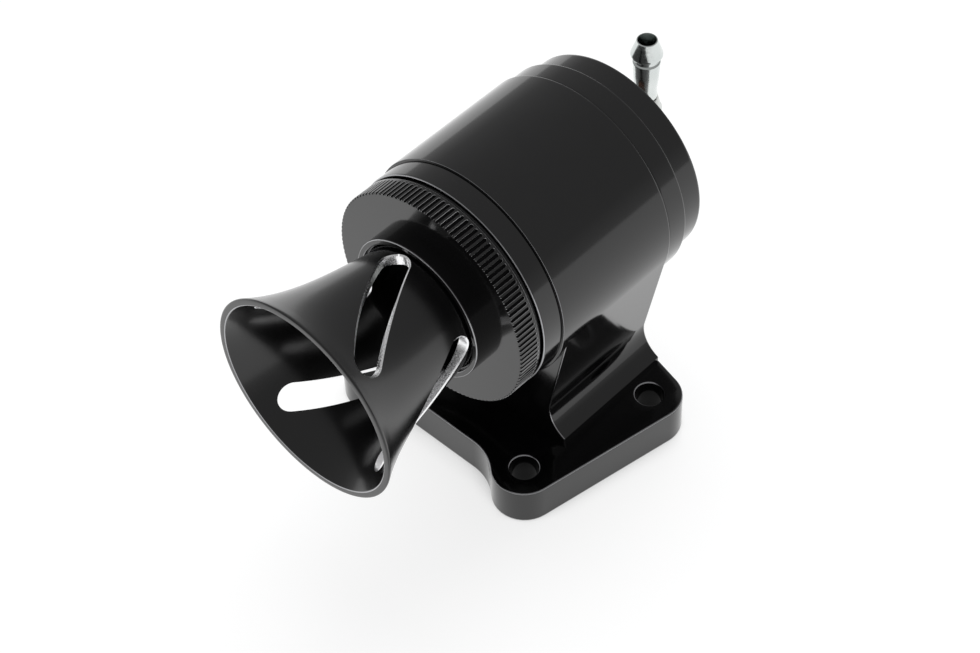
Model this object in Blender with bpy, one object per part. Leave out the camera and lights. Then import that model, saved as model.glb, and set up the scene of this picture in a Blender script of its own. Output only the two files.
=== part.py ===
"""Atmospheric blow off valve with a slotted trumpet, a piston inside and a three-bolt flange.

The barrel lies along +Y, with the trumpet at the front (-Y) and the vacuum elbow at the rear (+Y).
Stations along the barrel are counted from its front shoulder. Heights are counted from the flange's
mounting face. All sizes are in metres.
"""

import math

import bmesh
import bpy
from mathutils import Vector

# Clearances
seat_gap = 0.0003
running_gap = 0.0003
seal_gap = 0.0002
cutter_margin = 0.0010

# Barrel of the housing
axis_height = 0.0500
barrel_radius = 0.0270
barrel_length = 0.0340
band_step = 0.0005
band_length = 0.0055
neck_step = 0.0044
neck_length = 0.0035
barrel_wall = 0.0060
counterbore_wall = 0.0027
counterbore_depth = 0.0040
edge_chamfer = 0.0003
barrel_segments = 48
seal_segments = 28

# Flange
flange_thickness = 0.0095
bolt_circle_station = 0.0134
bolt_circle_radius = 0.0322
bolt_angles = (math.radians(-44.1), math.radians(21.2), math.radians(-135.9))
ear_radius = 0.0075
bolt_hole_radius = 0.00325
hole_chamfer = 0.00037
flange_front = -0.0112
flange_front_fillet = 0.0125
flange_rear_corner_radius = 0.0014
flange_left_corner_radius = 0.0050
flange_chamfer = 0.00035

# Pedestal between flange and barrel
pedestal_front = 0.0017
pedestal_setback = 0.0002
pedestal_chamfer = 0.0004
side_taper = math.radians(12.0)
side_sink = 0.00005
flare_height = 0.0099
flare_radius = 0.0075
flare_lip = 0.0015
flange_overhang = 0.0011

# Inlet port and its seal
port_radius = 0.0090
port_seal_wall = 0.0012
port_seal_width = 0.0018
port_seal_height = 0.0009
port_groove_depth = 0.0014

# Front cap
cap_undersize = 0.00075
cap_length = 0.00575
cap_gap = 0.0009
cap_chamfer = 0.0004
flute_count = 126
flute_depth = 0.0004
flute_share = 0.56
flute_rear_land = 0.0004
cap_segments = 42
cap_face_width = 0.00891
boss_length = 0.0039
boss_rounding = 0.0008
boss_rim = 0.00134
boss_mouth_depth = 0.0011
cap_step_depth = 0.00135
cap_seal_width = 0.0016
cap_seal_height = 0.0012
cap_seal_sink = 0.0009
cap_seal_wall = 0.0010

# Trumpet
horn_reach = 0.03285
horn_neck_gap = 0.0006
horn_neck_reach = 0.0010
horn_mouth_radius = 0.02480
horn_taper_share = 0.53
horn_bell_power = 3.4
horn_wall = 0.0018
horn_rim = 0.0003
tail_step = 0.0008
tail_wall = 0.0017
seat_depth = 0.0025
horn_seal_width = 0.0012
horn_seal_depth = 0.0010
horn_seal_station = 0.0013
slot_count = 4
slot_width = 0.0063
slot_overcut = 0.0010
slot_rear_margin = 0.0036
slot_front_margin = 0.0070
slot_start_angle = math.radians(-5.9)
slot_twist = math.radians(45.0)
slot_round_steps = (math.radians(14), math.radians(45), math.radians(70))
ring_nut_gap = 0.0025
ring_nut_height = 0.0020
ring_nut_notches = 4
ring_nut_notch_width = 0.0030
ring_nut_notch_depth = 0.0012

# Piston and what it carries
piston_nose_passage = 0.0046
piston_nose_height = 0.0044
piston_waist_step = 0.0018
piston_wall = 0.0024
piston_rear_margin = 0.0030
piston_skirt_length = 0.0120
piston_flare_length = 0.0035
piston_nose_wall = 0.0045
piston_nose_chamfer = 0.0004
piston_ring_width = 0.0012
piston_ring_depth = 0.0015
piston_ring_first = 0.0010
piston_ring_pitch = 0.0028
nose_seal_margin = 0.0005
nose_seal_height = 0.0015
nose_washer_gap = 0.0019
nose_washer_height = 0.0010
nose_screw_radius = 0.0022
nose_screw_head_radius = 0.0040
nose_screw_head_height = 0.0021
nose_screw_reach = 0.0040
nose_screw_crown = 0.0007
nose_screw_key = 0.0015
nose_screw_key_depth = 0.00126

# Spring
spring_side_gap = 0.0010
wire_radius = 0.0009
spring_turns = 6
dead_turns = 0.75
spring_shim_radius = 0.0130
spring_shim_hole = 0.0060
spring_shim_height = 0.0010

# Rear cap
rear_band_undersize = 0.00063
rear_band_length = 0.0056
rear_nose_step = 0.0020
rear_nose_length = 0.0070
rear_wall = 0.0031
rear_edge_rounding = 0.0006
pocket_relief = 0.0004
rear_seal_width = 0.0012
rear_seal_depth = 0.0011
rear_seal_station = 0.0009

# Vacuum elbow and nipple
elbow_thread_radius = 0.0040
elbow_hexagon_radius = 0.0060
elbow_flange_height = 0.0020
elbow_body_radius = 0.0038
elbow_reach = 0.0106
elbow_ball_flat = 0.0005
elbow_rise = 0.0065
elbow_socket_radius = 0.0037
elbow_socket_sink = 0.0004
elbow_collar_radius = 0.0026
elbow_collar_rise = 0.0030
vacuum_bore = 0.0014
elbow_washer_radius = 0.0065
elbow_washer_height = 0.0008
nipple_height = 0.0258
nipple_base_rim = 0.0008
nipple_neck_rise = 0.0020
nipple_neck_radius = 0.0020
nipple_stem_length = 0.0040
nipple_stem_radius = 0.00295
nipple_stem_step = 0.0003
nipple_rib_drop = 0.0019
nipple_rib_edge = 0.0004
nipple_barb_drop = 0.0041
nipple_barb_radius = 0.0034
nipple_barb_land = 0.0005
nipple_tip_radius = 0.00235
nipple_edge = 0.0001
nipple_mouth_radius = 0.0020
nipple_mouth_depth = 0.0010
nipple_spigot_radius = 0.0019
nipple_spigot_length = 0.0030

# Radii that the sizes give, from the barrel inwards
band_radius = barrel_radius - band_step
neck_radius = barrel_radius - neck_step
bore_radius = barrel_radius - barrel_wall
counterbore_radius = barrel_radius - counterbore_wall
cap_radius = barrel_radius - cap_undersize
boss_radius = cap_radius - cap_face_width
boss_mouth_radius = boss_radius - boss_rim
horn_neck_radius = boss_mouth_radius - horn_neck_gap
tail_radius = horn_neck_radius - tail_step
tail_bore = tail_radius - tail_wall
ring_nut_radius = bore_radius - ring_nut_gap
piston_radius = bore_radius - running_gap
piston_nose_radius = bore_radius - piston_nose_passage
piston_waist_radius = piston_nose_radius - piston_waist_step
piston_cavity = piston_waist_radius - piston_wall
nose_seal_radius = piston_nose_radius - nose_seal_margin
nose_washer_radius = tail_bore - nose_washer_gap
spring_radius = piston_cavity - spring_side_gap - wire_radius
rear_band_radius = barrel_radius - rear_band_undersize
rear_nose_radius = barrel_radius - rear_nose_step
rear_spigot_radius = counterbore_radius - seat_gap
pocket_radius = bore_radius + pocket_relief
cap_bore_radius = horn_neck_radius + seat_gap
cap_step_radius = tail_radius + seat_gap
cap_thread_radius = neck_radius + seat_gap
elbow_thread_hole = elbow_thread_radius + seat_gap
side_plane = barrel_radius * math.cos(math.pi / barrel_segments) - side_sink

# Stations that the sizes give, along the barrel
band_front = -band_length
neck_front = band_front - neck_length
bore_rear = barrel_length - counterbore_depth
cap_rear = band_front - cap_gap
cap_front = cap_rear - cap_length
cap_floor = neck_front - seat_gap
boss_front = cap_front - boss_length
cap_step = cap_front + cap_step_depth
horn_mouth = boss_front - horn_reach
horn_flare_start = boss_front - horn_neck_reach
horn_shoulder = cap_step - seat_gap
valve_seat = band_front + seat_depth
nose_seal_front = valve_seat + seat_gap
piston_front = nose_seal_front + nose_seal_height + seat_gap
piston_rear = barrel_length - piston_rear_margin
piston_skirt_station = piston_rear - piston_skirt_length
spring_front = piston_front + piston_nose_wall + seat_gap
rear_cap_front = barrel_length + seat_gap
rear_step = rear_cap_front + rear_band_length - seat_gap
rear_face = rear_step + rear_nose_length
pocket_floor = rear_face - rear_wall
shim_rear = pocket_floor - seat_gap
spring_rear = shim_rear - spring_shim_height - seat_gap
nipple_station = rear_face + elbow_reach
pedestal_rear = barrel_length - pedestal_setback

# The middle of the object's box on the floor, which is its origin
ear_centres = [
    Vector(
        (
            bolt_circle_radius * math.cos(angle),
            bolt_circle_station + bolt_circle_radius * math.sin(angle),
        )
    )
    for angle in bolt_angles
]
box_left = min(-barrel_radius, min(c.x for c in ear_centres) - ear_radius)
box_right = max(barrel_radius, max(c.x for c in ear_centres) + ear_radius)
box_rear = nipple_station + elbow_body_radius
origin_x = (box_left + box_right) / 2
origin_y = (horn_mouth + box_rear) / 2


def clear_scene():
    for obj in list(bpy.data.objects):
        bpy.data.objects.remove(obj, do_unlink=True)


def make_material(name, colour, roughness, metallic):
    material = bpy.data.materials.new(name)
    material.use_nodes = True
    shader = material.node_tree.nodes["Principled BSDF"]
    shader.inputs["Base Color"].default_value = (*colour, 1.0)
    shader.inputs["Roughness"].default_value = roughness
    shader.inputs["Metallic"].default_value = metallic
    material.diffuse_color = (*colour, 1.0)
    return material


def anodised(name):
    return make_material(name, (0.018, 0.018, 0.020), 0.30, 0.6)


def rubber(name):
    return make_material(name, (0.012, 0.012, 0.012), 0.65, 0.0)


def plated(name):
    return make_material(name, (0.62, 0.64, 0.64), 0.25, 1.0)


def make_object(name, bm, material, parent):
    """A new object from a bmesh, shaded smooth but for its sharp edges."""
    bmesh.ops.recalc_face_normals(bm, faces=bm.faces)
    mesh = bpy.data.meshes.new(name)
    bm.to_mesh(mesh)
    bm.free()
    mesh.materials.append(material)
    mesh.shade_smooth()
    mesh.set_sharp_from_angle(angle=math.radians(30))
    obj = bpy.data.objects.new(name, mesh)
    bpy.context.scene.collection.objects.link(obj)
    obj.parent = parent
    return obj


def make_empty(name, location, parent=None):
    empty = bpy.data.objects.new(name, None)
    empty.empty_display_size = 0.01
    empty.location = location
    empty.parent = parent
    bpy.context.scene.collection.objects.link(empty)
    return empty


def lathe(profile, segments, solid):
    """A bmesh of (station, radius) points turned about local Z, closed as a ring or by flat ends."""
    bm = bmesh.new()
    verts = [bm.verts.new((radius, 0, station)) for station, radius in profile]
    edges = [bm.edges.new(pair) for pair in zip(verts, verts[1:])]
    if not solid:
        edges.append(bm.edges.new((verts[-1], verts[0])))
    bmesh.ops.spin(
        bm,
        geom=verts + edges,
        cent=(0, 0, 0),
        axis=(0, 0, 1),
        angle=2 * math.pi,
        steps=segments,
        use_merge=True,
    )
    if solid:
        bmesh.ops.holes_fill(bm, edges=[edge for edge in bm.edges if edge.is_boundary])
    return bm


def extrude_outline(outline, z_low, z_high):
    """A bmesh of a flat outline in local XY, raised from z_low to z_high."""
    bm = bmesh.new()
    face = bm.faces.new([bm.verts.new((x, y, z_low)) for x, y in outline])
    raised = bmesh.ops.extrude_face_region(bm, geom=[face])
    top = [item for item in raised["geom"] if isinstance(item, bmesh.types.BMVert)]
    bmesh.ops.translate(bm, verts=top, vec=(0, 0, z_high - z_low))
    return bm


def lay_along_barrel(obj):
    """Turns local Z onto the barrel's axis."""
    obj.location.z += axis_height
    obj.rotation_euler = (math.radians(-90), 0, 0)
    return obj


def turned(name, profile, material, parent, segments, solid=False):
    """A piece turned about the barrel's axis."""
    bm = lathe(profile, segments, solid)
    return lay_along_barrel(make_object(name, bm, material, parent))


def upright(name, profile, material, parent, segments, place, solid=False):
    """A piece turned about a vertical axis at place."""
    obj = make_object(name, lathe(profile, segments, solid), material, parent)
    obj.location.x = place[0]
    obj.location.y = place[1]
    return obj


def helper(obj):
    """Keeps a cutter or a joined form out of the model itself."""
    obj.hide_render = True
    obj.display_type = "WIRE"
    return obj


def combine(obj, other, operation):
    modifier = obj.modifiers.new(other.name, "BOOLEAN")
    modifier.operation = operation
    modifier.object = helper(other)
    modifier.solver = "EXACT"


def washer_profile(front, rear, inner, outer):
    """The plain square section of a washer, a shim or a disc with a hole."""
    return [(front, inner), (front, outer), (rear, outer), (rear, inner)]


def seal_profile(front, rear, inner, outer):
    """An O-ring's section as its groove squeezes it: flat on both walls and pointed between."""
    middle = (inner + outer) / 2
    flat = (rear - front) / 4
    return [
        (front, middle),
        (front + flat, outer),
        (rear - flat, outer),
        (rear, middle),
        (rear - flat, inner),
        (front + flat, inner),
    ]


def arc_points(centre, radius, start, end, steps):
    return [
        Vector(
            (
                centre.x + radius * math.cos(start + (end - start) * step / steps),
                centre.y + radius * math.sin(start + (end - start) * step / steps),
            )
        )
        for step in range(steps + 1)
    ]


def belt_turn(first, facing, second):
    """How far a belt that faces outwards at this angle runs round the first peg before it leaves for
    the second one. A peg that lies inside the first is never reached."""
    (centre, radius), (other, other_radius) = first, second
    along = other - centre
    if along.length <= abs(radius - other_radius):
        return math.inf
    normal = math.atan2(along.y, along.x) - math.acos((radius - other_radius) / along.length)
    turn = (normal - facing) % (2 * math.pi)
    rounding_error = 1e-6
    return turn if turn < 2 * math.pi - rounding_error else 0.0


def flange_outline():
    """The flange seen from above: a belt round three ears and two rear corners, with a straight front
    that runs into the two front ears by hollow corners."""
    front_ear, rear_ear, left_ear = ear_centres
    corner_x = foot_half_width() + flange_overhang - flange_rear_corner_radius
    corner = Vector((corner_x, barrel_length - flange_rear_corner_radius))
    left_x = -foot_half_width() - flange_overhang + flange_left_corner_radius
    left_corner = Vector((left_x, barrel_length - flange_left_corner_radius))
    pegs = [
        (front_ear, ear_radius),
        (rear_ear, ear_radius),
        (corner, flange_rear_corner_radius),
        (left_corner, flange_left_corner_radius),
        (left_ear, ear_radius),
    ]
    # The hollow corners touch the straight front edge and the two front ears from outside.
    fillet_y = flange_front - flange_front_fillet
    reach = ear_radius + flange_front_fillet
    fillet_dx = math.sqrt(reach**2 - (front_ear.y - fillet_y) ** 2)
    leave = math.atan2(front_ear.y - fillet_y, fillet_dx)
    right_fillet = Vector((front_ear.x - fillet_dx, fillet_y))
    left_fillet = Vector((left_ear.x + fillet_dx, fillet_y))
    points = arc_points(right_fillet, flange_front_fillet, math.pi / 2, leave, 4)
    peg, facing = pegs.pop(0), leave - math.pi
    while pegs:
        turns = [belt_turn(peg, facing, other) for other in pegs]
        nearest = turns.index(min(turns))
        points += peg_arc(peg, facing, turns[nearest])
        facing += turns[nearest]
        peg = pegs[nearest]
        pegs = pegs[nearest + 1 :]
    points += peg_arc(peg, facing, (-leave - facing) % (2 * math.pi))
    points += arc_points(left_fillet, flange_front_fillet, math.pi - leave, math.pi / 2, 4)
    cleaned = [points[0]]
    for point in points[1:]:
        if (point - cleaned[-1]).length > 1e-6:
            cleaned.append(point)
    return [(point.x, point.y) for point in cleaned]


def peg_arc(peg, facing, turn):
    """The points of a belt's run round one peg."""
    steps = max(2, math.ceil(turn / math.radians(18)))
    return arc_points(*peg, facing, facing + turn, steps)


def side_at(height):
    """Half the pedestal's width at a height above the flange's face, on its flat tapered side."""
    return (side_plane + (height - axis_height) * math.sin(side_taper)) / math.cos(side_taper)


def flare_points(steps=6):
    """The hollow flare at the pedestal's foot, from its flat side out to the lip above the flange."""
    start_height = flange_thickness + flare_height
    centre_x = side_at(start_height) + flare_radius * math.cos(side_taper)
    centre_z = start_height - flare_radius * math.sin(side_taper)
    end = math.asin(min((centre_z - flange_thickness - flare_lip) / flare_radius, 1.0))
    return [
        (centre_x - point.x, centre_z - point.y)
        for point in arc_points(Vector((0, 0)), flare_radius, -side_taper, end, steps)
    ]


def foot_half_width():
    return flare_points()[-1][0]


def horn_radius(station):
    """The trumpet's outer radius: a slow taper that opens into a bell."""
    share = (horn_flare_start - station) / (horn_flare_start - horn_mouth)
    rise = horn_mouth_radius - horn_neck_radius
    share = max(0.0, share)
    taper = horn_taper_share * share
    bell = (1 - horn_taper_share) * share**horn_bell_power
    return horn_neck_radius + rise * (taper + bell)


def make_housing(parent):
    """Barrel, pedestal and flange, milled and turned from one billet."""
    black = anodised("housing_anodised")
    seal_front = band_front
    seal_rear = band_front + cap_seal_sink
    seal_inner = neck_radius + cap_seal_wall
    seal_outer = seal_inner + cap_seal_width + 2 * seal_gap
    profile = [
        (neck_front, bore_radius),
        (neck_front, neck_radius - edge_chamfer),
        (neck_front + edge_chamfer, neck_radius),
        (seal_front, neck_radius),
        (seal_front, seal_inner),
        (seal_rear, seal_inner),
        (seal_rear, seal_outer),
        (seal_front, seal_outer),
        (band_front, band_radius - edge_chamfer),
        (band_front + edge_chamfer, band_radius),
        (band_radius - barrel_radius, band_radius),
        (0, barrel_radius),
        (barrel_length - edge_chamfer, barrel_radius),
        (barrel_length, barrel_radius - edge_chamfer),
        (barrel_length, counterbore_radius),
        (bore_rear, counterbore_radius),
        (bore_rear, bore_radius),
    ]
    housing = turned("valve_body", profile, black, parent, barrel_segments)

    right = flare_points()
    buried = flange_thickness / 2
    half = wall_points() + right + [(right[-1][0], buried)]
    outline = half + [(-x, z) for x, z in reversed(half)]
    bm = bmesh.new()
    face = bm.faces.new([bm.verts.new((x, pedestal_front, z)) for x, z in outline])
    pushed = bmesh.ops.extrude_face_region(bm, geom=[face])
    far = [item for item in pushed["geom"] if isinstance(item, bmesh.types.BMVert)]
    bmesh.ops.translate(bm, verts=far, vec=(0, pedestal_rear - pedestal_front, 0))
    pedestal = make_object("pedestal_form", bm, black, parent)
    ends = pedestal.modifiers.new("end_chamfer", "BEVEL")
    ends.width = pedestal_chamfer
    ends.segments = 1
    ends.limit_method = "ANGLE"
    ends.angle_limit = math.radians(75)
    combine(housing, pedestal, "UNION")

    flange = make_object(
        "flange_form", extrude_outline(flange_outline(), 0, flange_thickness), black, parent
    )
    edges = flange.modifiers.new("edge_chamfer", "BEVEL")
    edges.width = flange_chamfer
    edges.segments = 1
    edges.limit_method = "ANGLE"
    edges.angle_limit = math.radians(60)
    combine(housing, flange, "UNION")

    port = [(-cutter_margin, port_radius), (axis_height, port_radius)]
    centre = (0, bolt_circle_station)
    cutter = upright("port_cutter", port, black, parent, 32, centre, solid=True)
    combine(housing, cutter, "DIFFERENCE")
    groove_inner = port_radius + port_seal_wall
    groove_outer = groove_inner + port_seal_width + 2 * seal_gap
    groove = [
        (-cutter_margin, groove_inner),
        (-cutter_margin, groove_outer),
        (port_groove_depth, groove_outer),
        (port_groove_depth, groove_inner),
    ]
    combine(housing, upright("seal_groove_cutter", groove, black, parent, 32, centre), "DIFFERENCE")

    wide = bolt_hole_radius + hole_chamfer + cutter_margin
    hole = [
        (-cutter_margin, wide),
        (hole_chamfer, bolt_hole_radius),
        (flange_thickness - hole_chamfer, bolt_hole_radius),
        (flange_thickness + cutter_margin, wide),
    ]
    for number, ear in enumerate(ear_centres, 1):
        name = f"bolt_hole_cutter_{number}"
        cutter = upright(name, hole, black, parent, 20, ear, solid=True)
        combine(housing, cutter, "DIFFERENCE")
    return housing


def wall_points(steps=7):
    """The pedestal's top, an arc hidden inside the barrel's wall, from its middle to its flat side."""
    radius = (counterbore_radius + barrel_radius) / 2
    last = math.pi / 2 - side_taper
    points = []
    for step in range(1, steps + 1):
        angle = last * (step - 0.5) / (steps - 0.5)
        points.append((radius * math.sin(angle), axis_height - radius * math.cos(angle)))
    points.append((side_plane * math.sin(last), axis_height - side_plane * math.cos(last)))
    return points


def make_port_seal(parent):
    """The O-ring in the flange's face, round the inlet port."""
    inner = port_radius + port_seal_wall + seal_gap
    profile = seal_profile(seat_gap, seat_gap + port_seal_height, inner, inner + port_seal_width)
    black = rubber("port_seal_rubber")
    return upright("port_seal", profile, black, parent, seal_segments, (0, bolt_circle_station))


def make_front_cap(parent):
    """The screwed front cap. Flutes milled round its rim run out through its front edge, and a boss
    holds the trumpet."""
    boss_corner = boss_rounding * (1 - math.cos(math.pi / 4))
    profile = [
        (cap_front, boss_radius),
        (boss_front + boss_rounding, boss_radius),
        (boss_front + boss_corner, boss_radius - boss_corner),
        (boss_front, boss_radius - boss_rounding),
        (boss_front, boss_mouth_radius),
        (boss_front + boss_mouth_depth, boss_mouth_radius),
        (boss_front + boss_mouth_depth, cap_bore_radius),
        (cap_step, cap_bore_radius),
        (cap_step, cap_step_radius),
        (cap_floor, cap_step_radius),
        (cap_floor, cap_thread_radius),
        (cap_rear, cap_thread_radius),
        (cap_rear, cap_radius - cap_chamfer),
        (cap_rear - cap_chamfer, cap_radius),
    ]
    bm = bmesh.new()

    def corner(station, radius, angle):
        return bm.verts.new((radius * math.cos(angle), radius * math.sin(angle), station))

    turn = 2 * math.pi / cap_segments
    section = [
        [corner(station, radius, k * turn) for k in range(cap_segments)]
        for station, radius in profile
    ]
    for low, high in zip(section, section[1:]):
        for k in range(cap_segments):
            after = (k + 1) % cap_segments
            bm.faces.new((low[k], low[after], high[after], high[k]))

    # Each flute is a trough between two lands, open at the front and sloped at its rear end.
    pitch = 2 * math.pi / flute_count
    half = flute_share * pitch / 2
    bottom = cap_radius - flute_depth
    flute_rear = cap_rear - cap_chamfer - flute_rear_land
    front_edge, front_floor, rear_edge = [], [], []
    for flute in range(flute_count):
        middle = (flute + 0.5) * pitch
        front = [corner(cap_front + flute_depth, cap_radius, middle + s * half) for s in (-1, 1)]
        rear = [corner(flute_rear, cap_radius, middle + s * half) for s in (-1, 1)]
        front_bottom = corner(cap_front, bottom, middle)
        rear_bottom = corner(flute_rear - 2 * flute_depth, bottom, middle)
        bm.faces.new((front[0], front_bottom, rear_bottom, rear[0]))
        bm.faces.new((front[1], rear[1], rear_bottom, front_bottom))
        bm.faces.new((rear[0], rear_bottom, rear[1]))
        front_edge += front
        front_floor.append(front_bottom)
        rear_edge += rear
    for flute in range(flute_count):
        after = (flute + 1) % flute_count
        low, high = 2 * flute + 1, 2 * after
        bm.faces.new((front_edge[low], front_edge[high], rear_edge[high], rear_edge[low]))
        bm.faces.new((front_floor[flute], front_floor[after], front_edge[high], front_edge[low]))
    for edge, ring in ((front_floor, section[0]), (rear_edge, section[-1])):
        ratio = len(edge) // cap_segments
        for k in range(cap_segments):
            after = (k + 1) % cap_segments
            fan = [edge[k * ratio + step] for step in range(ratio)]
            for one, two in zip(fan, fan[1:]):
                bm.faces.new((ring[k], one, two))
            bm.faces.new((ring[k], fan[-1], edge[(k + 1) * ratio % len(edge)], ring[after]))
    cap = make_object("front_cap", bm, anodised("front_cap_anodised"), parent)
    return lay_along_barrel(cap)


def make_front_cap_seal(parent):
    """The O-ring that shows in the gap between cap and housing."""
    inner = neck_radius + cap_seal_wall + seal_gap
    rear = band_front + cap_seal_sink - seal_gap
    profile = seal_profile(rear - cap_seal_height, rear, inner, inner + cap_seal_width)
    black = rubber("front_cap_seal_rubber")
    return turned("front_cap_seal", profile, black, parent, seal_segments)


def slot_rows(steps=8):
    """Rows across one slot: station, angle, half width and slant, with a round at either end."""
    rear = boss_front - slot_rear_margin
    front = horn_mouth + slot_front_margin
    lead = slot_twist / (rear - front)
    radius = slot_width / 2
    rounds = [(radius * math.cos(turn), radius * math.sin(turn)) for turn in slot_round_steps]
    marks = [(rear, -along, half) for along, half in rounds]
    marks += [(rear + (front - rear) * step / steps, 0, radius) for step in range(steps + 1)]
    marks += [(front, along, half) for along, half in reversed(rounds)]
    rows = []
    for station, along, half in marks:
        slant = math.atan(horn_radius(station) * lead)
        angle = slot_start_angle + (rear - station) * lead
        angle += along * math.sin(slant) / horn_radius(station)
        rows.append((station - along * math.cos(slant), angle, half, slant))
    return rows


def make_slot_cutter(number, parent, material):
    """A twisted bar that follows the bell's wall, a little deeper and a little higher than it."""
    turn = 2 * math.pi * number / slot_count
    bm = bmesh.new()
    bands = []
    for station, angle, half, slant in slot_rows():
        corners = []
        for side in (-1, 1):
            place = station + side * half * math.sin(slant)
            swing = angle + turn + side * half * math.cos(slant) / horn_radius(station)
            wall = horn_radius(place)
            for radius in (wall - horn_wall - slot_overcut, wall + slot_overcut):
                corners.append(
                    bm.verts.new((radius * math.sin(swing), -radius * math.cos(swing), place))
                )
        bands.append(corners)
    for first, second in zip(bands, bands[1:]):
        for a, b in ((0, 1), (1, 3), (3, 2), (2, 0)):
            bm.faces.new((first[a], first[b], second[b], second[a]))
    for end in (bands[0], bands[-1]):
        bm.faces.new([end[corner] for corner in (0, 1, 3, 2)])
    return lay_along_barrel(make_object(f"slot_cutter_{number + 1}", bm, material, parent))


def make_horn(parent):
    """The turned trumpet. Its tail goes through the cap and ends in the lip that the piston seals."""
    black = anodised("horn_anodised")
    steps = 6
    reach = horn_flare_start - horn_mouth
    stations = [horn_flare_start - reach * step / steps for step in range(steps + 1)]
    outer = [(station, horn_radius(station)) for station in stations]
    inner = [(station, radius - horn_wall) for station, radius in outer[-2:1:-1]]
    groove_rear = horn_shoulder - horn_seal_station
    groove_front = groove_rear - horn_seal_width - 2 * seal_gap
    groove_radius = horn_neck_radius - horn_seal_depth
    profile = (
        [
            (valve_seat, tail_radius - horn_rim),
            (valve_seat - horn_rim, tail_radius),
            (horn_shoulder, tail_radius),
            (horn_shoulder, horn_neck_radius),
            (groove_rear, horn_neck_radius),
            (groove_rear, groove_radius),
            (groove_front, groove_radius),
            (groove_front, horn_neck_radius),
        ]
        + outer[:-1]
        + [
            (horn_mouth + horn_rim, horn_mouth_radius),
            (horn_mouth, horn_mouth_radius - horn_rim),
            (horn_mouth, horn_mouth_radius - horn_wall),
        ]
        + inner
        + [
            (horn_flare_start, tail_bore),
            (valve_seat - horn_rim, tail_bore),
            (valve_seat, tail_bore + horn_rim),
        ]
    )
    horn = turned("horn", profile, black, parent, 48)
    for number in range(slot_count):
        combine(horn, make_slot_cutter(number, parent, black), "DIFFERENCE")
    return horn


def make_horn_seal(parent):
    """The O-ring between the trumpet's neck and the cap's bore."""
    rear = horn_shoulder - horn_seal_station - seal_gap
    inner = horn_neck_radius - horn_seal_depth + seal_gap
    profile = seal_profile(rear - horn_seal_width, rear, inner, cap_bore_radius - seal_gap)
    black = rubber("horn_seal_rubber")
    return turned("horn_seal", profile, black, parent, seal_segments)


def make_ring_nut(parent):
    """The thin notched nut that pulls the trumpet's shoulder against the cap's step."""
    front = cap_floor + seat_gap
    rear = front + ring_nut_height
    inner = tail_radius + seat_gap
    points = []
    steps = 6
    notch = ring_nut_notch_width / ring_nut_radius
    for side in range(ring_nut_notches):
        start = 2 * math.pi * side / ring_nut_notches + notch / 2
        sweep = 2 * math.pi / ring_nut_notches - notch
        for step in range(steps + 1):
            angle = start + sweep * step / steps
            points.append((ring_nut_radius, angle))
        floor = ring_nut_radius - ring_nut_notch_depth
        points.append((floor, start + sweep))
        points.append((floor, start + sweep + notch))
    bm = bmesh.new()
    loops = []
    for station in (front, rear):
        loops.append(
            [bm.verts.new((r * math.cos(a), r * math.sin(a), station)) for r, a in points]
        )
        loops.append(
            [bm.verts.new((inner * math.cos(a), inner * math.sin(a), station)) for r, a in points]
        )
    outer_front, inner_front, outer_rear, inner_rear = loops
    count = len(points)
    for k in range(count):
        after = (k + 1) % count
        for one, two in (
            (outer_front, outer_rear),
            (inner_front, inner_rear),
            (outer_front, inner_front),
            (outer_rear, inner_rear),
        ):
            bm.faces.new((one[k], one[after], two[after], two[k]))
    nut = make_object("horn_ring_nut", bm, plated("ring_nut_plated"), parent)
    return lay_along_barrel(nut)


def make_piston(parent):
    """The bell-shaped piston: a flat nose, a waist that lets the air pass, and a skirt with two rings."""
    thread = nose_screw_radius + seat_gap
    waist_front = piston_front + piston_nose_height
    flare_start = piston_skirt_station - piston_flare_length
    skirt_inside = piston_radius - piston_wall
    profile = [
        (piston_front, thread),
        (piston_front, piston_nose_radius - piston_nose_chamfer),
        (piston_front + piston_nose_chamfer, piston_nose_radius),
        (waist_front, piston_nose_radius),
        (waist_front + piston_nose_radius - piston_waist_radius, piston_waist_radius),
        (flare_start, piston_waist_radius),
        (piston_skirt_station - edge_chamfer, piston_radius - edge_chamfer),
        (piston_skirt_station, piston_radius),
    ]
    for number in range(2):
        front = piston_skirt_station + piston_ring_first + number * piston_ring_pitch
        rear = front + piston_ring_width + 2 * seal_gap
        bottom = piston_radius - piston_ring_depth
        profile += [
            (front, piston_radius),
            (front, bottom),
            (rear, bottom),
            (rear, piston_radius),
        ]
    profile += [
        (piston_rear - edge_chamfer, piston_radius),
        (piston_rear, piston_radius - edge_chamfer),
        (piston_rear, skirt_inside),
        (piston_skirt_station + piston_wall, skirt_inside),
        (flare_start + piston_wall, piston_cavity),
        (piston_front + piston_nose_wall, piston_cavity),
        (piston_front + piston_nose_wall, thread),
    ]
    alloy = make_material("piston_alloy", (0.70, 0.70, 0.72), 0.3, 1.0)
    piston = turned("piston", profile, alloy, parent, 36)
    for number, name in enumerate(("piston_seal_front", "piston_seal_rear")):
        front = piston_skirt_station + piston_ring_first + number * piston_ring_pitch + seal_gap
        inner = piston_radius - piston_ring_depth + seal_gap
        ring = seal_profile(front, front + piston_ring_width, inner, bore_radius - seal_gap)
        turned(name, ring, rubber(name + "_rubber"), parent, seal_segments)
    return piston


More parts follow.
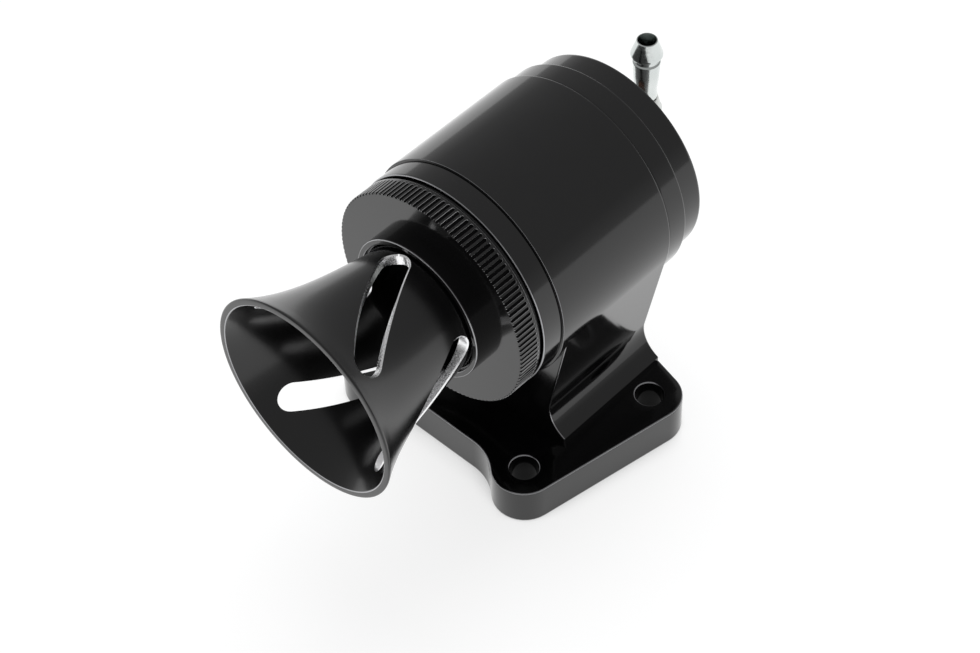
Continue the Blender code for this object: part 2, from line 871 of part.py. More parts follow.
def make_nose(parent):
    """The seal disc on the piston's nose, with the washer and the screw that clamp it."""
    hole = nose_screw_radius + seat_gap
    disc_rear = nose_seal_front + nose_seal_height
    disc = washer_profile(nose_seal_front, disc_rear, hole + seal_gap, nose_seal_radius)
    turned("nose_seal", disc, rubber("nose_seal_rubber"), parent, 36)
    washer_rear = nose_seal_front - seat_gap
    washer_front = washer_rear - nose_washer_height
    washer = washer_profile(washer_front, washer_rear, hole, nose_washer_radius)
    turned("nose_washer", washer, plated("nose_washer_plated"), parent, 32)
    head_rear = washer_front - seat_gap
    head_front = head_rear - nose_screw_head_height
    screw = [
        (head_front, nose_screw_head_radius - nose_screw_crown),
        (head_front + nose_screw_crown, nose_screw_head_radius),
        (head_rear, nose_screw_head_radius),
        (head_rear, nose_screw_radius),
        (piston_front + nose_screw_reach, nose_screw_radius),
    ]
    metal = plated("nose_screw_plated")
    bolt = turned("nose_screw", screw, metal, parent, 20, solid=True)
    key_floor = head_front + nose_screw_key_depth
    key = [(head_front - cutter_margin, nose_screw_key), (key_floor, nose_screw_key)]
    cutter = turned("key_cutter", key, metal, parent, 6, solid=True)
    combine(bolt, cutter, "DIFFERENCE")


def make_spring(parent):
    """The coil spring between the piston's nose and the rear cap, closed and open turns from one rule."""
    low = spring_front + wire_radius
    high = spring_rear - wire_radius
    turns = spring_turns + 2 * dead_turns
    dead_rise = 2 * wire_radius + seal_gap
    live_rise = (high - low - 2 * dead_turns * dead_rise) / spring_turns
    steps_per_turn = 12
    sides = 5
    total = round(turns * steps_per_turn)
    bm = bmesh.new()
    rings = []
    for step in range(total + 1):
        turn = turns * step / total
        first = min(turn, dead_turns)
        last = max(0.0, turn - dead_turns - spring_turns)
        station = low + (first + last) * dead_rise + (turn - first - last) * live_rise
        angle = 2 * math.pi * turn
        out = Vector((math.cos(angle), math.sin(angle), 0))
        ring = []
        for side in range(sides):
            around = 2 * math.pi * side / sides
            place = out * (spring_radius + wire_radius * math.cos(around))
            place.z = station + wire_radius * math.sin(around)
            ring.append(bm.verts.new(place))
        rings.append(ring)
    for first, second in zip(rings, rings[1:]):
        for side in range(sides):
            after = (side + 1) % sides
            bm.faces.new((first[side], first[after], second[after], second[side]))
    bm.faces.new(rings[0])
    bm.faces.new(rings[-1])
    steel = make_material("spring_steel", (0.45, 0.46, 0.48), 0.3, 1.0)
    return lay_along_barrel(make_object("spring", bm, steel, parent))


def make_spring_shim(parent):
    """The flat shim behind the spring, which sets its preload."""
    front = shim_rear - spring_shim_height
    profile = washer_profile(front, shim_rear, spring_shim_hole, spring_shim_radius)
    return turned("spring_shim", profile, plated("spring_shim_plated"), parent, 32)


def make_rear_cap(parent):
    """The stepped rear cap, screwed into the housing by its spigot."""
    spigot_front = bore_rear + seat_gap
    groove_front = spigot_front + rear_seal_station
    groove_rear = groove_front + rear_seal_width + 2 * seal_gap
    groove_radius = rear_spigot_radius - rear_seal_depth
    profile = [
        (spigot_front, pocket_radius),
        (spigot_front, rear_spigot_radius),
        (groove_front, rear_spigot_radius),
        (groove_front, groove_radius),
        (groove_rear, groove_radius),
        (groove_rear, rear_spigot_radius),
        (rear_cap_front, rear_spigot_radius),
        (rear_cap_front, rear_band_radius - edge_chamfer),
        (rear_cap_front + edge_chamfer, rear_band_radius),
        (rear_step, rear_band_radius),
        (rear_step + edge_chamfer, rear_band_radius - edge_chamfer),
        (rear_step + edge_chamfer, rear_nose_radius),
        (rear_face - rear_edge_rounding, rear_nose_radius),
        (rear_face, rear_nose_radius - rear_edge_rounding),
        (rear_face, elbow_thread_hole),
        (pocket_floor, elbow_thread_hole),
        (pocket_floor, pocket_radius),
    ]
    cap = turned("rear_cap", profile, anodised("rear_cap_anodised"), parent, 42)
    ring_front = groove_front + seal_gap
    ring_rear = ring_front + rear_seal_width
    inner = groove_radius + seal_gap
    ring = seal_profile(ring_front, ring_rear, inner, counterbore_radius - seal_gap)
    turned("rear_cap_seal", ring, rubber("rear_cap_seal_rubber"), parent, seal_segments)
    return cap


def make_elbow(parent):
    """The plated elbow: a threaded stub, a hexagon, a round body and an upright socket for the nipple."""
    metal = plated("elbow_plated")
    stub_front = pocket_floor + seat_gap
    hexagon_front = rear_face + elbow_washer_height + 2 * seat_gap
    hexagon_rear = hexagon_front + elbow_flange_height
    profile = [
        (nipple_station + vacuum_bore / 2, vacuum_bore),
        (stub_front, vacuum_bore),
        (stub_front, elbow_thread_radius - edge_chamfer),
        (stub_front + edge_chamfer, elbow_thread_radius),
        (hexagon_front, elbow_thread_radius),
        (hexagon_front, elbow_hexagon_radius),
        (hexagon_rear, elbow_hexagon_radius),
        (hexagon_rear, elbow_body_radius),
    ]
    ball_steps = 4
    for step in range(ball_steps):
        angle = math.pi / 2 * step / ball_steps
        station = nipple_station + elbow_body_radius * math.sin(angle)
        profile.append((station, elbow_body_radius * math.cos(angle)))
    profile.append((nipple_station + elbow_body_radius, elbow_ball_flat))
    bm = lathe(profile, 18, solid=True)
    # The flange's round edge is drawn in to six flats.
    apothem = elbow_hexagon_radius * math.cos(math.pi / 6)
    for vert in bm.verts:
        radius = vert.co.xy.length
        if abs(radius - elbow_hexagon_radius) < 1e-6:
            angle = math.atan2(vert.co.y, vert.co.x) % (math.pi / 3) - math.pi / 6
            vert.co.xy *= apothem / math.cos(angle) / radius
    elbow = lay_along_barrel(make_object("elbow_block", bm, metal, parent))

    collar_top = axis_height + elbow_rise + elbow_collar_rise
    socket = [
        (axis_height + elbow_socket_sink, elbow_socket_radius),
        (axis_height + elbow_rise, elbow_socket_radius),
        (collar_top, elbow_collar_radius),
    ]
    place = (0, nipple_station)
    form = upright("elbow_socket_form", socket, metal, parent, 20, place, solid=True)
    combine(elbow, form, "UNION")
    spigot_floor = collar_top - nipple_spigot_length - seat_gap
    spigot_hole = nipple_spigot_radius + seat_gap
    riser = [
        (axis_height + seat_gap, vacuum_bore),
        (spigot_floor, vacuum_bore),
        (spigot_floor, spigot_hole),
        (collar_top + cutter_margin, spigot_hole),
    ]
    cutter = upright("riser_cutter", riser, metal, parent, 14, place, solid=True)
    combine(elbow, cutter, "DIFFERENCE")

    washer_front = rear_face + seat_gap
    washer_rear = washer_front + elbow_washer_height
    washer = washer_profile(washer_front, washer_rear, elbow_thread_hole, elbow_washer_radius)
    fibre = make_material("washer_fibre", (0.30, 0.05, 0.03), 0.7, 0.0)
    turned("elbow_washer", washer, fibre, parent, 24)
    return elbow


def make_nipple(parent):
    """The barbed nipple pressed into the elbow, for the vacuum hose."""
    base = axis_height + elbow_rise + elbow_collar_rise + seat_gap
    tip = axis_height + nipple_height
    barb = tip - nipple_barb_drop
    rib = barb - nipple_rib_drop
    stem = nipple_stem_radius - nipple_stem_step
    profile = [
        (base - nipple_spigot_length, vacuum_bore),
        (base - nipple_spigot_length, nipple_spigot_radius),
        (base, nipple_spigot_radius),
        (base, elbow_collar_radius),
        (base + nipple_base_rim, elbow_collar_radius),
        (base + nipple_neck_rise, nipple_neck_radius),
        (rib - nipple_stem_length, stem),
        (rib, nipple_stem_radius),
        (rib + nipple_rib_edge, nipple_stem_radius - nipple_rib_edge),
        (barb - nipple_stem_step, stem),
        (barb, nipple_barb_radius),
        (barb + nipple_barb_land, nipple_barb_radius),
        (tip - nipple_edge, nipple_tip_radius),
        (tip, nipple_tip_radius - nipple_edge),
        (tip, nipple_mouth_radius),
        (tip - nipple_mouth_depth, vacuum_bore),
    ]
    metal = plated("nipple_plated")
    return upright("vacuum_nipple", profile, metal, parent, 16, (0, nipple_station))


clear_scene()
frame = make_empty("frame", (-origin_x, -origin_y, 0))
make_housing(frame)
make_port_seal(frame)
make_front_cap(frame)
make_front_cap_seal(frame)
make_horn(frame)
make_horn_seal(frame)
make_ring_nut(frame)
make_spring(frame)
make_spring_shim(frame)
make_rear_cap(frame)
make_elbow(frame)
make_nipple(frame)

# The piston slides along the barrel's axis, and what it carries moves with it.
piston_axis = make_empty("piston_axis", (0, 0, 0), frame)
make_piston(piston_axis)
make_nose(piston_axis)
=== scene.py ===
import math

import bmesh
import bpy
from mathutils import Matrix, Vector


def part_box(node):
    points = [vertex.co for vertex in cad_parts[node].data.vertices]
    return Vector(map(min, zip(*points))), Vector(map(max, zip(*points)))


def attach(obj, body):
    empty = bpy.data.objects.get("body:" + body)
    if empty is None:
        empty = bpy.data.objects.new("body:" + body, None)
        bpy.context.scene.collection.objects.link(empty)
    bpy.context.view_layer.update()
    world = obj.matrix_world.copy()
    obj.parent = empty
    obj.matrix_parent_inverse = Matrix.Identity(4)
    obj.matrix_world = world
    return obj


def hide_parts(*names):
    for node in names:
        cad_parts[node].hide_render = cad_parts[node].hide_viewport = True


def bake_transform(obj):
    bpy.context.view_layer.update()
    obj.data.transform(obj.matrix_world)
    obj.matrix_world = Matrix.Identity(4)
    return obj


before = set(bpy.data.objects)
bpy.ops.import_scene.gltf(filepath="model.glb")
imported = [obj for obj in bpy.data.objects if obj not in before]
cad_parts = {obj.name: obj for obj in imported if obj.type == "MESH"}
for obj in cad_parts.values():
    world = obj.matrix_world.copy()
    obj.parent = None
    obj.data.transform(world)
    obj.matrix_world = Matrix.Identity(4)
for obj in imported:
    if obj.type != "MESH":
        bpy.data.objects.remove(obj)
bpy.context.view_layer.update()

# Valve body: barrel, tapered pedestal and three-eared flange, turned and milled from one aluminium billet
# and black anodised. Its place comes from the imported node, stations along the barrel are counted from the
# front shoulder, and angles round it from the top towards +X.
barrel_radius = 0.0270
barrel_length = 0.0340
band_radius = 0.0265
band_length = 0.0055
neck_radius = 0.0226
neck_length = 0.0035
bore_radius = 0.0210
counterbore_radius = 0.0243
counterbore_depth = 0.0040
cap_seal_groove = (0.0236, 0.0256, 0.0009)
body_edge = 0.0004
soft_edge = 0.0003
fine_edge = 0.0002
edge_steps = 4
crease_degrees = 26
line_groove = (0.00030, 0.00015, 0.00008)
barrel_segments = 192
port_segments = 96
hole_segments = 64
overcut = 0.0010
flange_thickness = 0.0095
bolt_circle_station = 0.0134
bolt_circle_radius = 0.0322
bolt_angles = (math.radians(-44.1), math.radians(21.2), math.radians(-135.9))
ear_radius = 0.0075
bolt_hole_radius = 0.00325
hole_edge = 0.0004
flange_front = -0.0112
flange_front_fillet = 0.0125
flange_right_corner = 0.0014
flange_left_corner = 0.0050
flange_overhang = 0.0011
flange_edge = 0.0004
pedestal_front = 0.0017
pedestal_setback = 0.0002
side_taper = math.radians(12)
side_sink = 0.00002
flare_height = 0.0099
flare_radius = 0.0075
flare_lip = 0.0015
port_radius = 0.0090
seal_groove = (0.0102, 0.0124, 0.0014)

piston_low, piston_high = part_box("piston")
body_low, body_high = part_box("valve_body")
axis_x = (piston_low.x + piston_high.x) / 2
axis_height = (piston_low.z + piston_high.z) / 2
shoulder = body_high.y - barrel_length


def on_axis(station, radius, angle):
    """The point at a station along the barrel, a radius from its axis and an angle from the top."""
    side = radius * math.sin(angle)
    return Vector((axis_x + side, shoulder + station, axis_height + radius * math.cos(angle)))


def machined(name, dark, light, metallic, roughness, line_depth, grain_depth, ior=1.5, grain_scale=5200):
    """Machined metal: fine turning lines round the barrel's axis, a soft grain and a mottled colour."""
    line_scale, cloud_scale = 2600.0, 160.0
    material, tree, shader = new_finish(name)
    shader.inputs["Metallic"].default_value = metallic
    shader.inputs["IOR"].default_value = ior
    place = make_node(tree, "ShaderNodeTexCoord").outputs["Object"]
    centre = (-axis_x, -shoulder, -axis_height)
    mapping = make_node(tree, "ShaderNodeMapping", {"Vector": place, "Location": centre})
    centred = mapping.outputs["Vector"]
    split = make_node(tree, "ShaderNodeSeparateXYZ", {"Vector": centred}).outputs
    across = make_node(tree, "ShaderNodeCombineXYZ", {"X": split["X"], "Z": split["Z"]})
    radius = make_node(
        tree, "ShaderNodeVectorMath", {0: across.outputs["Vector"]}, operation="LENGTH"
    ).outputs["Value"]
    lines = make_node(
        tree,
        "ShaderNodeTexNoise",
        {
            "W": calculate(tree, "ADD", radius, split["Y"]),
            "Scale": line_scale,
            "Detail": 3.0,
            "Roughness": 0.6,
        },
        noise_dimensions="1D",
    ).outputs["Fac"]
    grain = noise(tree, centred, grain_scale, 2.0)
    cloud = noise(tree, centred, cloud_scale, 4.0)
    tree.links.new(mottled(tree, cloud, dark, light), shader.inputs["Base Color"])
    rough = make_node(
        tree,
        "ShaderNodeMapRange",
        {
            "Value": calculate(tree, "ADD", cloud, grain),
            "From Min": 0.6,
            "From Max": 1.4,
            "To Min": roughness[0],
            "To Max": roughness[1],
        },
    )
    tree.links.new(rough.outputs["Result"], shader.inputs["Roughness"])
    turned_bump = make_node(tree, "ShaderNodeBump", {"Height": lines, "Distance": line_depth})
    fine_bump = make_node(
        tree,
        "ShaderNodeBump",
        {"Height": grain, "Distance": grain_depth, "Normal": turned_bump.outputs["Normal"]},
    )
    tree.links.new(fine_bump.outputs["Normal"], shader.inputs["Normal"])
    return material


def new_finish(name):
    """A new material with its node tree and its surface shader."""
    material = bpy.data.materials.new(name)
    material.use_nodes = True
    return material, material.node_tree, material.node_tree.nodes["Principled BSDF"]


def noise(tree, place, scale, detail):
    """A cloudy pattern from 0 to 1 over the piece."""
    inputs = {"Vector": place, "Scale": scale, "Detail": detail}
    return make_node(tree, "ShaderNodeTexNoise", inputs).outputs["Fac"]


def mottled(tree, share, dark, light):
    """A colour that drifts between two others."""
    inputs = {"Factor": share, "A": (*dark, 1), "B": (*light, 1)}
    return make_node(tree, "ShaderNodeMix", inputs, data_type="RGBA").outputs["Result"]


def calculate(tree, operation, *values):
    """The result of a math node."""
    inputs = dict(enumerate(values))
    return make_node(tree, "ShaderNodeMath", inputs, operation=operation).outputs["Value"]


def make_node(tree, kind, inputs=None, **settings):
    """A new node with its settings, and its inputs either set or linked from another node's output."""
    node = tree.nodes.new(kind)
    for name, value in settings.items():
        setattr(node, name, value)
    for key, value in (inputs or {}).items():
        socket = node.inputs[key]
        if key in ("A", "B", "Factor") and kind == "ShaderNodeMix":
            kinds = {"A": "RGBA", "B": "RGBA", "Factor": "VALUE"}
            socket = next(s for s in node.inputs if s.name == key and s.type == kinds[key])
        if isinstance(value, bpy.types.NodeSocket):
            tree.links.new(value, socket)
        else:
            socket.default_value = value
    return node


def eased(corners):
    """A closed profile from (station, radius, edge) corners, each with its edge taken off in a short curve.
    A fourth value gives a corner's curve the bright edge metal: a painted highlight, partly real wear."""
    points = []
    hold = 1.3
    for k, (station, radius, edge, *worn_highlight) in enumerate(corners):
        corner = Vector((station, radius))
        if not edge:
            points.append((*corner, False))
            continue
        before = (Vector(corners[k - 1][:2]) - corner).normalized()
        after = (Vector(corners[(k + 1) % len(corners)][:2]) - corner).normalized()
        start, end = corner + before * edge, corner + after * edge
        points.append((*(corner + before * edge * hold), False))
        for step in range(edge_steps + 1):
            share = step / edge_steps
            point = start * (1 - share) ** 2 + corner * 2 * share * (1 - share) + end * share**2
            points.append((*point, bool(worn_highlight) and 0 < step < edge_steps - 1))
        points.append((*(corner + after * edge * hold), False))
    return points


def skinned(rows, worn_highlight=(), capped=False):
    """A closed ring through rows of points, or with capped a bar with a flat face at either end.
    Faces after a listed row take the second finish, bright edge metal: a painted highlight."""
    bm = bmesh.new()
    loops = [[bm.verts.new(point) for point in row] for row in rows]
    pairs = list(zip(loops, loops[1:]))
    if capped:
        bm.faces.new(loops[0])
        bm.faces.new(loops[-1])
    else:
        pairs.append((loops[-1], loops[0]))
    for number, (loop, next_loop) in enumerate(pairs):
        for k in range(len(loop)):
            after = (k + 1) % len(loop)
            face = bm.faces.new((loop[k], loop[after], next_loop[after], next_loop[k]))
            face.material_index = int(number in worn_highlight)
    return bm


def level_rows(profile, segments):
    """Circles of (station, radius) points round the barrel's axis."""
    turn = 2 * math.pi / segments
    return [[on_axis(y, r, k * turn) for k in range(segments)] for y, r, *_ in profile]


def turned(profile, segments):
    """A closed ring of (station, radius, mark) points turned about the barrel's axis.
    Faces after a marked point take the bright edge metal, a painted highlight.
    """
    worn_highlight = [number for number, point in enumerate(profile) if point[2]]
    return skinned(level_rows(profile, segments), worn_highlight)


def lofted(rows, worn_highlight=()):
    """A closed solid through rows of points, with a flat face at either end."""
    return skinned(rows, worn_highlight, capped=True)


def upright_rows(profile, segments, centre):
    """Circles of (height, radius) points round a vertical axis."""
    turn = 2 * math.pi / segments
    return [
        [
            (centre.x + r * math.cos(k * turn), centre.y + r * math.sin(k * turn), z)
            for k in range(segments)
        ]
        for z, r, *_ in profile
    ]


def rounded_ends(size, length):
    """(distance along, inset) rows that round both ends of a straight extrusion."""
    hold = 1.4
    first = [(0, size * hold)]
    for step in range(edge_steps + 1):
        angle = math.pi / 2 * step / edge_steps
        first.append((size * (1 - math.cos(angle)), size * (1 - math.sin(angle))))
    first.append((size * hold, 0))
    return first + [(length - along, inset) for along, inset in reversed(first)]


def finished(name, bm, material, crease=crease_degrees, second=None):
    """A named piece from a bmesh: doubles merged, faces outwards, smooth but for its sharp edges."""
    bmesh.ops.remove_doubles(bm, verts=bm.verts, dist=1e-7)
    bmesh.ops.recalc_face_normals(bm, faces=bm.faces)
    mesh = bpy.data.meshes.new(name)
    bm.to_mesh(mesh)
    bm.free()
    mesh.materials.append(material)
    if second:
        mesh.materials.append(second)
    smooth(mesh, crease)
    return stood(name, mesh)


def smooth(mesh, crease=crease_degrees):
    """Shades a mesh smooth but for its edges that are sharper than the crease."""
    mesh.shade_smooth()
    mesh.set_sharp_from_angle(angle=math.radians(crease))


def stood(name, data):
    """A new object in the scene that holds a mesh, a lamp or a camera."""
    thing = bpy.data.objects.new(name, data)
    bpy.context.scene.collection.objects.link(thing)
    return thing


def machine(piece, tools, operation, crease=crease_degrees):
    """Joins forms to a piece, or cuts tools out of it, and leaves a plain mesh."""
    for tool in tools:
        modifier = piece.modifiers.new(tool.name, "BOOLEAN")
        modifier.operation = operation
        modifier.object = tool
        modifier.solver = "EXACT"
        modifier.material_mode = "TRANSFER"
    plain_mesh(piece)
    for tool in tools:
        bpy.data.objects.remove(tool)
    smooth(piece.data, crease)


def plain_mesh(piece):
    """Applies a piece's modifiers to its mesh and removes them."""
    bpy.context.view_layer.update()
    evaluated = piece.evaluated_get(bpy.context.evaluated_depsgraph_get())
    mesh = bpy.data.meshes.new_from_object(evaluated)
    piece.modifiers.clear()
    piece.data = mesh
    mesh.name = piece.name


def fit(piece, body, slot, *nodes):
    """The piece stands for its CAD nodes and moves with their body. Its slot is not used."""
    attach(piece, body)
    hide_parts(*nodes)


def side_line(height, plane):
    """Half the pedestal's width at a height on its flat tapered side."""
    return (plane + (height - axis_height) * math.sin(side_taper)) / math.cos(side_taper)


def flare_points(inset):
    """The hollow flare at the pedestal's foot, from its flat side to the lip above the flange."""
    steps = 20
    start = flange_thickness + flare_height
    centre_x = side_line(start, side_plane) + flare_radius * math.cos(side_taper)
    centre_z = start - flare_radius * math.sin(side_taper)
    reach = math.sqrt(flare_radius**2 - (centre_z - flange_thickness - flare_lip) ** 2)
    radius = flare_radius + inset
    end = math.acos((reach + inset) / radius)
    angles = [-side_taper + (end + side_taper) * step / steps for step in range(steps + 1)]
    return [(centre_x - radius * math.cos(a), centre_z - radius * math.sin(a)) for a in angles]


def pedestal_section(inset, station):
    """The pedestal seen along the barrel. Its top is hidden inside the barrel's wall."""
    hidden = (counterbore_radius + barrel_radius) / 2
    last = math.pi / 2 - side_taper
    count = 12
    half = []
    for step in range(count):
        angle = last * (step + 0.5) / count
        half.append((hidden * math.sin(angle), axis_height - hidden * math.cos(angle)))
    plane = side_plane - inset
    half.append((plane * math.sin(last), axis_height - plane * math.cos(last)))
    flare = flare_points(inset)
    half += flare + [(flare[-1][0], flange_thickness / 2)]
    outline = half + [(-x, z) for x, z in reversed(half)]
    return [(axis_x + x, shoulder + station, z) for x, z in outline]


def arc(centre, radius, start, end):
    """Points along an arc, seen from above."""
    steps = 12
    angles = [start + (end - start) * step / steps for step in range(steps + 1)]
    return [(centre[0] + radius * math.cos(a), centre[1] + radius * math.sin(a)) for a in angles]


def flange_outline(inset, height):
    """The flange from above: three ears, a straight front with hollow corners, and straight sides."""
    front_ear, rear_ear, left_ear = bolt_places
    foot = flare_points(0)[-1][0] + flange_overhang
    circles = [
        (front_ear, ear_radius),
        (rear_ear, ear_radius),
        ((foot - flange_right_corner, barrel_length - flange_right_corner), flange_right_corner),
        ((flange_left_corner - foot, barrel_length - flange_left_corner), flange_left_corner),
        (left_ear, ear_radius),
    ]
    # The hollow front corners touch the straight front and the two front ears from outside.
    fillet_y = flange_front - flange_front_fillet
    drop = front_ear[1] - fillet_y
    fillet_dx = math.sqrt((ear_radius + flange_front_fillet) ** 2 - drop**2)
    leave = math.atan2(drop, fillet_dx)
    normals = [leave - math.pi]
    for (one, one_radius), (two, two_radius) in zip(circles, circles[1:]):
        run = (two[0] - one[0], two[1] - one[1])
        lean = math.acos((one_radius - two_radius) / math.hypot(*run))
        normals.append(math.atan2(run[1], run[0]) - lean)
    normals.append(-leave)
    hollow = flange_front_fillet + inset
    points = arc((front_ear[0] - fillet_dx, fillet_y), hollow, math.pi / 2, leave)
    for (centre, radius), start, end in zip(circles, normals, normals[1:]):
        end = start + (end - start) % (2 * math.pi)
        points += arc(centre, radius - inset, start, end)
    points += arc((left_ear[0] + fillet_dx, fillet_y), hollow, math.pi - leave, math.pi / 2)
    return [(axis_x + x, shoulder + y, height) for x, y in points]


black_dye = ((0.0022, 0.0022, 0.0025), (0.0040, 0.0039, 0.0042))
black_anodised = machined(
    "black_anodised_finish", *black_dye, 0.0, (0.08, 0.14), 0.0000012, 0.0000005, 1.52
)
# Bright metal for edge faces: a painted highlight where edges would catch the light, on edges partly worn.
edge_wear_and_highlight = machined(
    "burnished_edge_finish",
    (0.24, 0.24, 0.25),
    (0.42, 0.42, 0.43),
    1.0,
    (0.16, 0.28),
    0.000001,
    0.000002,
)
side_plane = barrel_radius * math.cos(math.pi / barrel_segments) - side_sink
bolt_places = [
    (
        bolt_circle_radius * math.cos(angle),
        bolt_circle_station + bolt_circle_radius * math.sin(angle),
    )
    for angle in bolt_angles
]
bore_rear = barrel_length - counterbore_depth
neck_front = -band_length - neck_length
groove_in, groove_out, groove_depth = cap_seal_groove
groove_start, groove_drop, groove_edge = line_groove
# Corners with a fourth value take the bright edge metal: painted highlight lines.
barrel_corners = [
    (neck_front, bore_radius, fine_edge),
    (neck_front, neck_radius, soft_edge),
    (-band_length, neck_radius, 0),
    (-band_length, groove_in, 0),
    (groove_depth - band_length, groove_in, 0),
    (groove_depth - band_length, groove_out, 0),
    (-band_length, groove_out, 0),
    (-band_length, band_radius, body_edge, "worn_highlight"),
    (-groove_start, band_radius, groove_edge, "worn_highlight"),
    (-groove_start / 2, band_radius - groove_drop, 0),
    (0, barrel_radius, groove_edge, "worn_highlight"),
    (barrel_length, barrel_radius, body_edge),
    (barrel_length, counterbore_radius, fine_edge),
    (bore_rear, counterbore_radius, 0),
    (bore_rear, bore_radius, fine_edge),
]
barrel = turned(eased(barrel_corners), barrel_segments)
housing = finished("housing", barrel, black_anodised, second=edge_wear_and_highlight)
pedestal_length = barrel_length - pedestal_setback - pedestal_front
pedestal_rows = [
    pedestal_section(inset, pedestal_front + along)
    for along, inset in rounded_ends(body_edge, pedestal_length)
]
flange_rows = [
    flange_outline(inset, body_low.z + along)
    for along, inset in rounded_ends(flange_edge, flange_thickness)
]
# These rows of the pedestal's front edge and the flange's top edge take the bright edge metal: painted
# highlight.
front_rim_row, top_rim_rows = (3,), (9, 10)
pedestal_bm = lofted(pedestal_rows, front_rim_row)
flange_bm = lofted(flange_rows, top_rim_rows)
forms = [
    finished("pedestal_form", pedestal_bm, black_anodised, second=edge_wear_and_highlight),
    finished("flange_form", flange_bm, black_anodised, second=edge_wear_and_highlight),
]
machine(housing, forms, "UNION")
port_centre = Vector((axis_x, shoulder + bolt_circle_station, 0))
port = [(-overcut, port_radius), (axis_height, port_radius)]
port_rows = upright_rows(port, port_segments, port_centre)
port_tool = finished("port_tool", lofted(port_rows), black_anodised)
groove_in, groove_out, groove_depth = seal_groove
groove_points = [
    (-overcut, groove_in),
    (-overcut, groove_out),
    (groove_depth, groove_out),
    (groove_depth, groove_in),
]
groove_rows = upright_rows(groove_points, port_segments, port_centre)
tools = [port_tool, finished("groove_tool", skinned(groove_rows), black_anodised)]
for number, (x, y) in enumerate(bolt_places, 1):
    wide = bolt_hole_radius + hole_edge + overcut
    hole = [(-overcut, wide), (0, bolt_hole_radius + hole_edge)]
    for step in range(1, edge_steps + 1):
        lean = math.pi / 2 * step / edge_steps
        taken = hole_edge * (1 - math.sin(lean))
        hole.append((hole_edge * (1 - math.cos(lean)), bolt_hole_radius + taken))
    hole += [(flange_thickness - z, r) for z, r in reversed(hole)]
    centre = Vector((axis_x + x, shoulder + y, 0))
    hole_rows = upright_rows(hole, hole_segments, centre)
    # The hole's top edge takes the bright edge metal: a painted highlight.
    hole_bm = lofted(hole_rows, (len(hole) - 4, len(hole) - 5))
    tool = finished(f"bolt_hole_tool_{number}", hole_bm, black_anodised, second=edge_wear_and_highlight)
    tools.append(tool)
machine(housing, tools, "DIFFERENCE")
fit(housing, "housing", "black_anodised", "valve_body")


# Front cap: a screwed aluminium cap with a turned boss that holds the trumpet. 126 short straight flutes are
# milled round its rim and run out through its front edge. Black anodised like the body.
_, cap_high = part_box("front_cap")
cap_radius = 0.02625
cap_length = 0.00575
cap_edge = 0.0003
flute_count = 126
flute_depth = 0.0004
flute_share = 0.62
flute_land = 0.0002
flute_face = 0.0008
boss_radius = 0.01734
boss_length = 0.0039
boss_edge = 0.0003
boss_mouth_radius = 0.0160
boss_mouth_depth = 0.0011
cap_bore_radius = 0.0157
cap_step_radius = 0.0149
cap_step_depth = 0.00135
cap_thread_radius = 0.0229
cap_floor_gap = 0.0003
boss_mouth_edge = 0.0004
hair = 1e-6
merge_reach = 0.000002

cap_rear = cap_high.y - shoulder
cap_front = cap_rear - cap_length
boss_front = cap_front - boss_length
cap_step = cap_front + cap_step_depth
cap_floor = neck_front - cap_floor_gap
rim_rear = cap_rear - 1.4 * cap_edge


def make_flute_cell():
    """One flute with half a land either side, at the top of the rim, with the barrel's axis through zero.
    A U of loops goes down its walls and round its rear end, and a strip carries them over the front edge.
    Its finishes are the land's, the crest edge's bright metal (a painted highlight on partly worn crests)
    and the groove's darker matt black (painted shade)."""
    pitch = 2 * math.pi * cap_radius / flute_count
    half = flute_share * pitch / 2
    side = pitch / 2
    groove = 2
    open_end = cap_front + cap_edge
    round_end = rim_rear - flute_land - half
    bm = bmesh.new()

    def corner(x, station, radius):
        """A point from its place round the rim, its station and its distance from the axis."""
        angle = x / cap_radius
        place = (radius * math.sin(angle), shoulder + station, radius * math.cos(angle))
        return bm.verts.new(place)

    def bridge(loop, next_loop, finishes):
        """A strip of faces between two open loops, each with its finish."""
        for k in range(len(loop) - 1):
            face = bm.faces.new((loop[k], loop[k + 1], next_loop[k + 1], next_loop[k]))
            face.material_index = finishes[k]

    border = [(-side, open_end), (-side, round_end), (-side, rim_rear), (0, rim_rear)]
    border += [(-x, station) for x, station in reversed(border[:3])]
    loops = [[corner(x, station, cap_radius) for x, station in border]]
    steps = [(1, 0), (0.88, 0.18), (0.62, 0.62), (0.32, 0.92), (0.10, 1)]
    for width, depth in steps:
        reach = half * width
        path = [(-reach, open_end), (-reach, round_end)]
        path.append((-reach * math.sqrt(0.5), round_end + reach * math.sqrt(0.5)))
        path.append((0, round_end + reach))
        path += [(-x, station) for x, station in reversed(path[:3])]
        loops.append([corner(x, station, cap_radius - flute_depth * depth) for x, station in path])
    for number, (loop, next_loop) in enumerate(zip(loops, loops[1:])):
        bridge(loop, next_loop, [min(number, groove)] * len(loop))
    bm.faces.new(loops[-1]).material_index = groove
    columns = [(-side, 0)] + [(-half * width, flute_depth * depth) for width, depth in steps]
    columns += [(-x, depth) for x, depth in reversed(columns)]
    row = [loop[0] for loop in loops] + [loop[-1] for loop in reversed(loops)]
    finishes = [min(k, len(row) - 2 - k, groove) for k in range(len(row) - 1)]
    for step in range(1, edge_steps + 1):
        lean = math.pi / 2 * step / edge_steps
        station = open_end - cap_edge * math.sin(lean)
        drop = cap_edge * (1 - math.cos(lean))
        next_row = [corner(x, station, cap_radius - max(drop, depth)) for x, depth in columns]
        bridge(row, next_row, finishes)
        row = next_row
    face_radius = cap_radius - flute_face
    left, middle, right = [corner(x, cap_front, face_radius) for x in (-side, 0, side)]
    centre = len(row) // 2
    for k in range(len(row) - 1):
        bm.faces.new((row[k], row[k + 1], left if k < centre else right))
    bm.faces.new((left, row[centre], middle))
    bm.faces.new((middle, row[centre], right))
    return bm


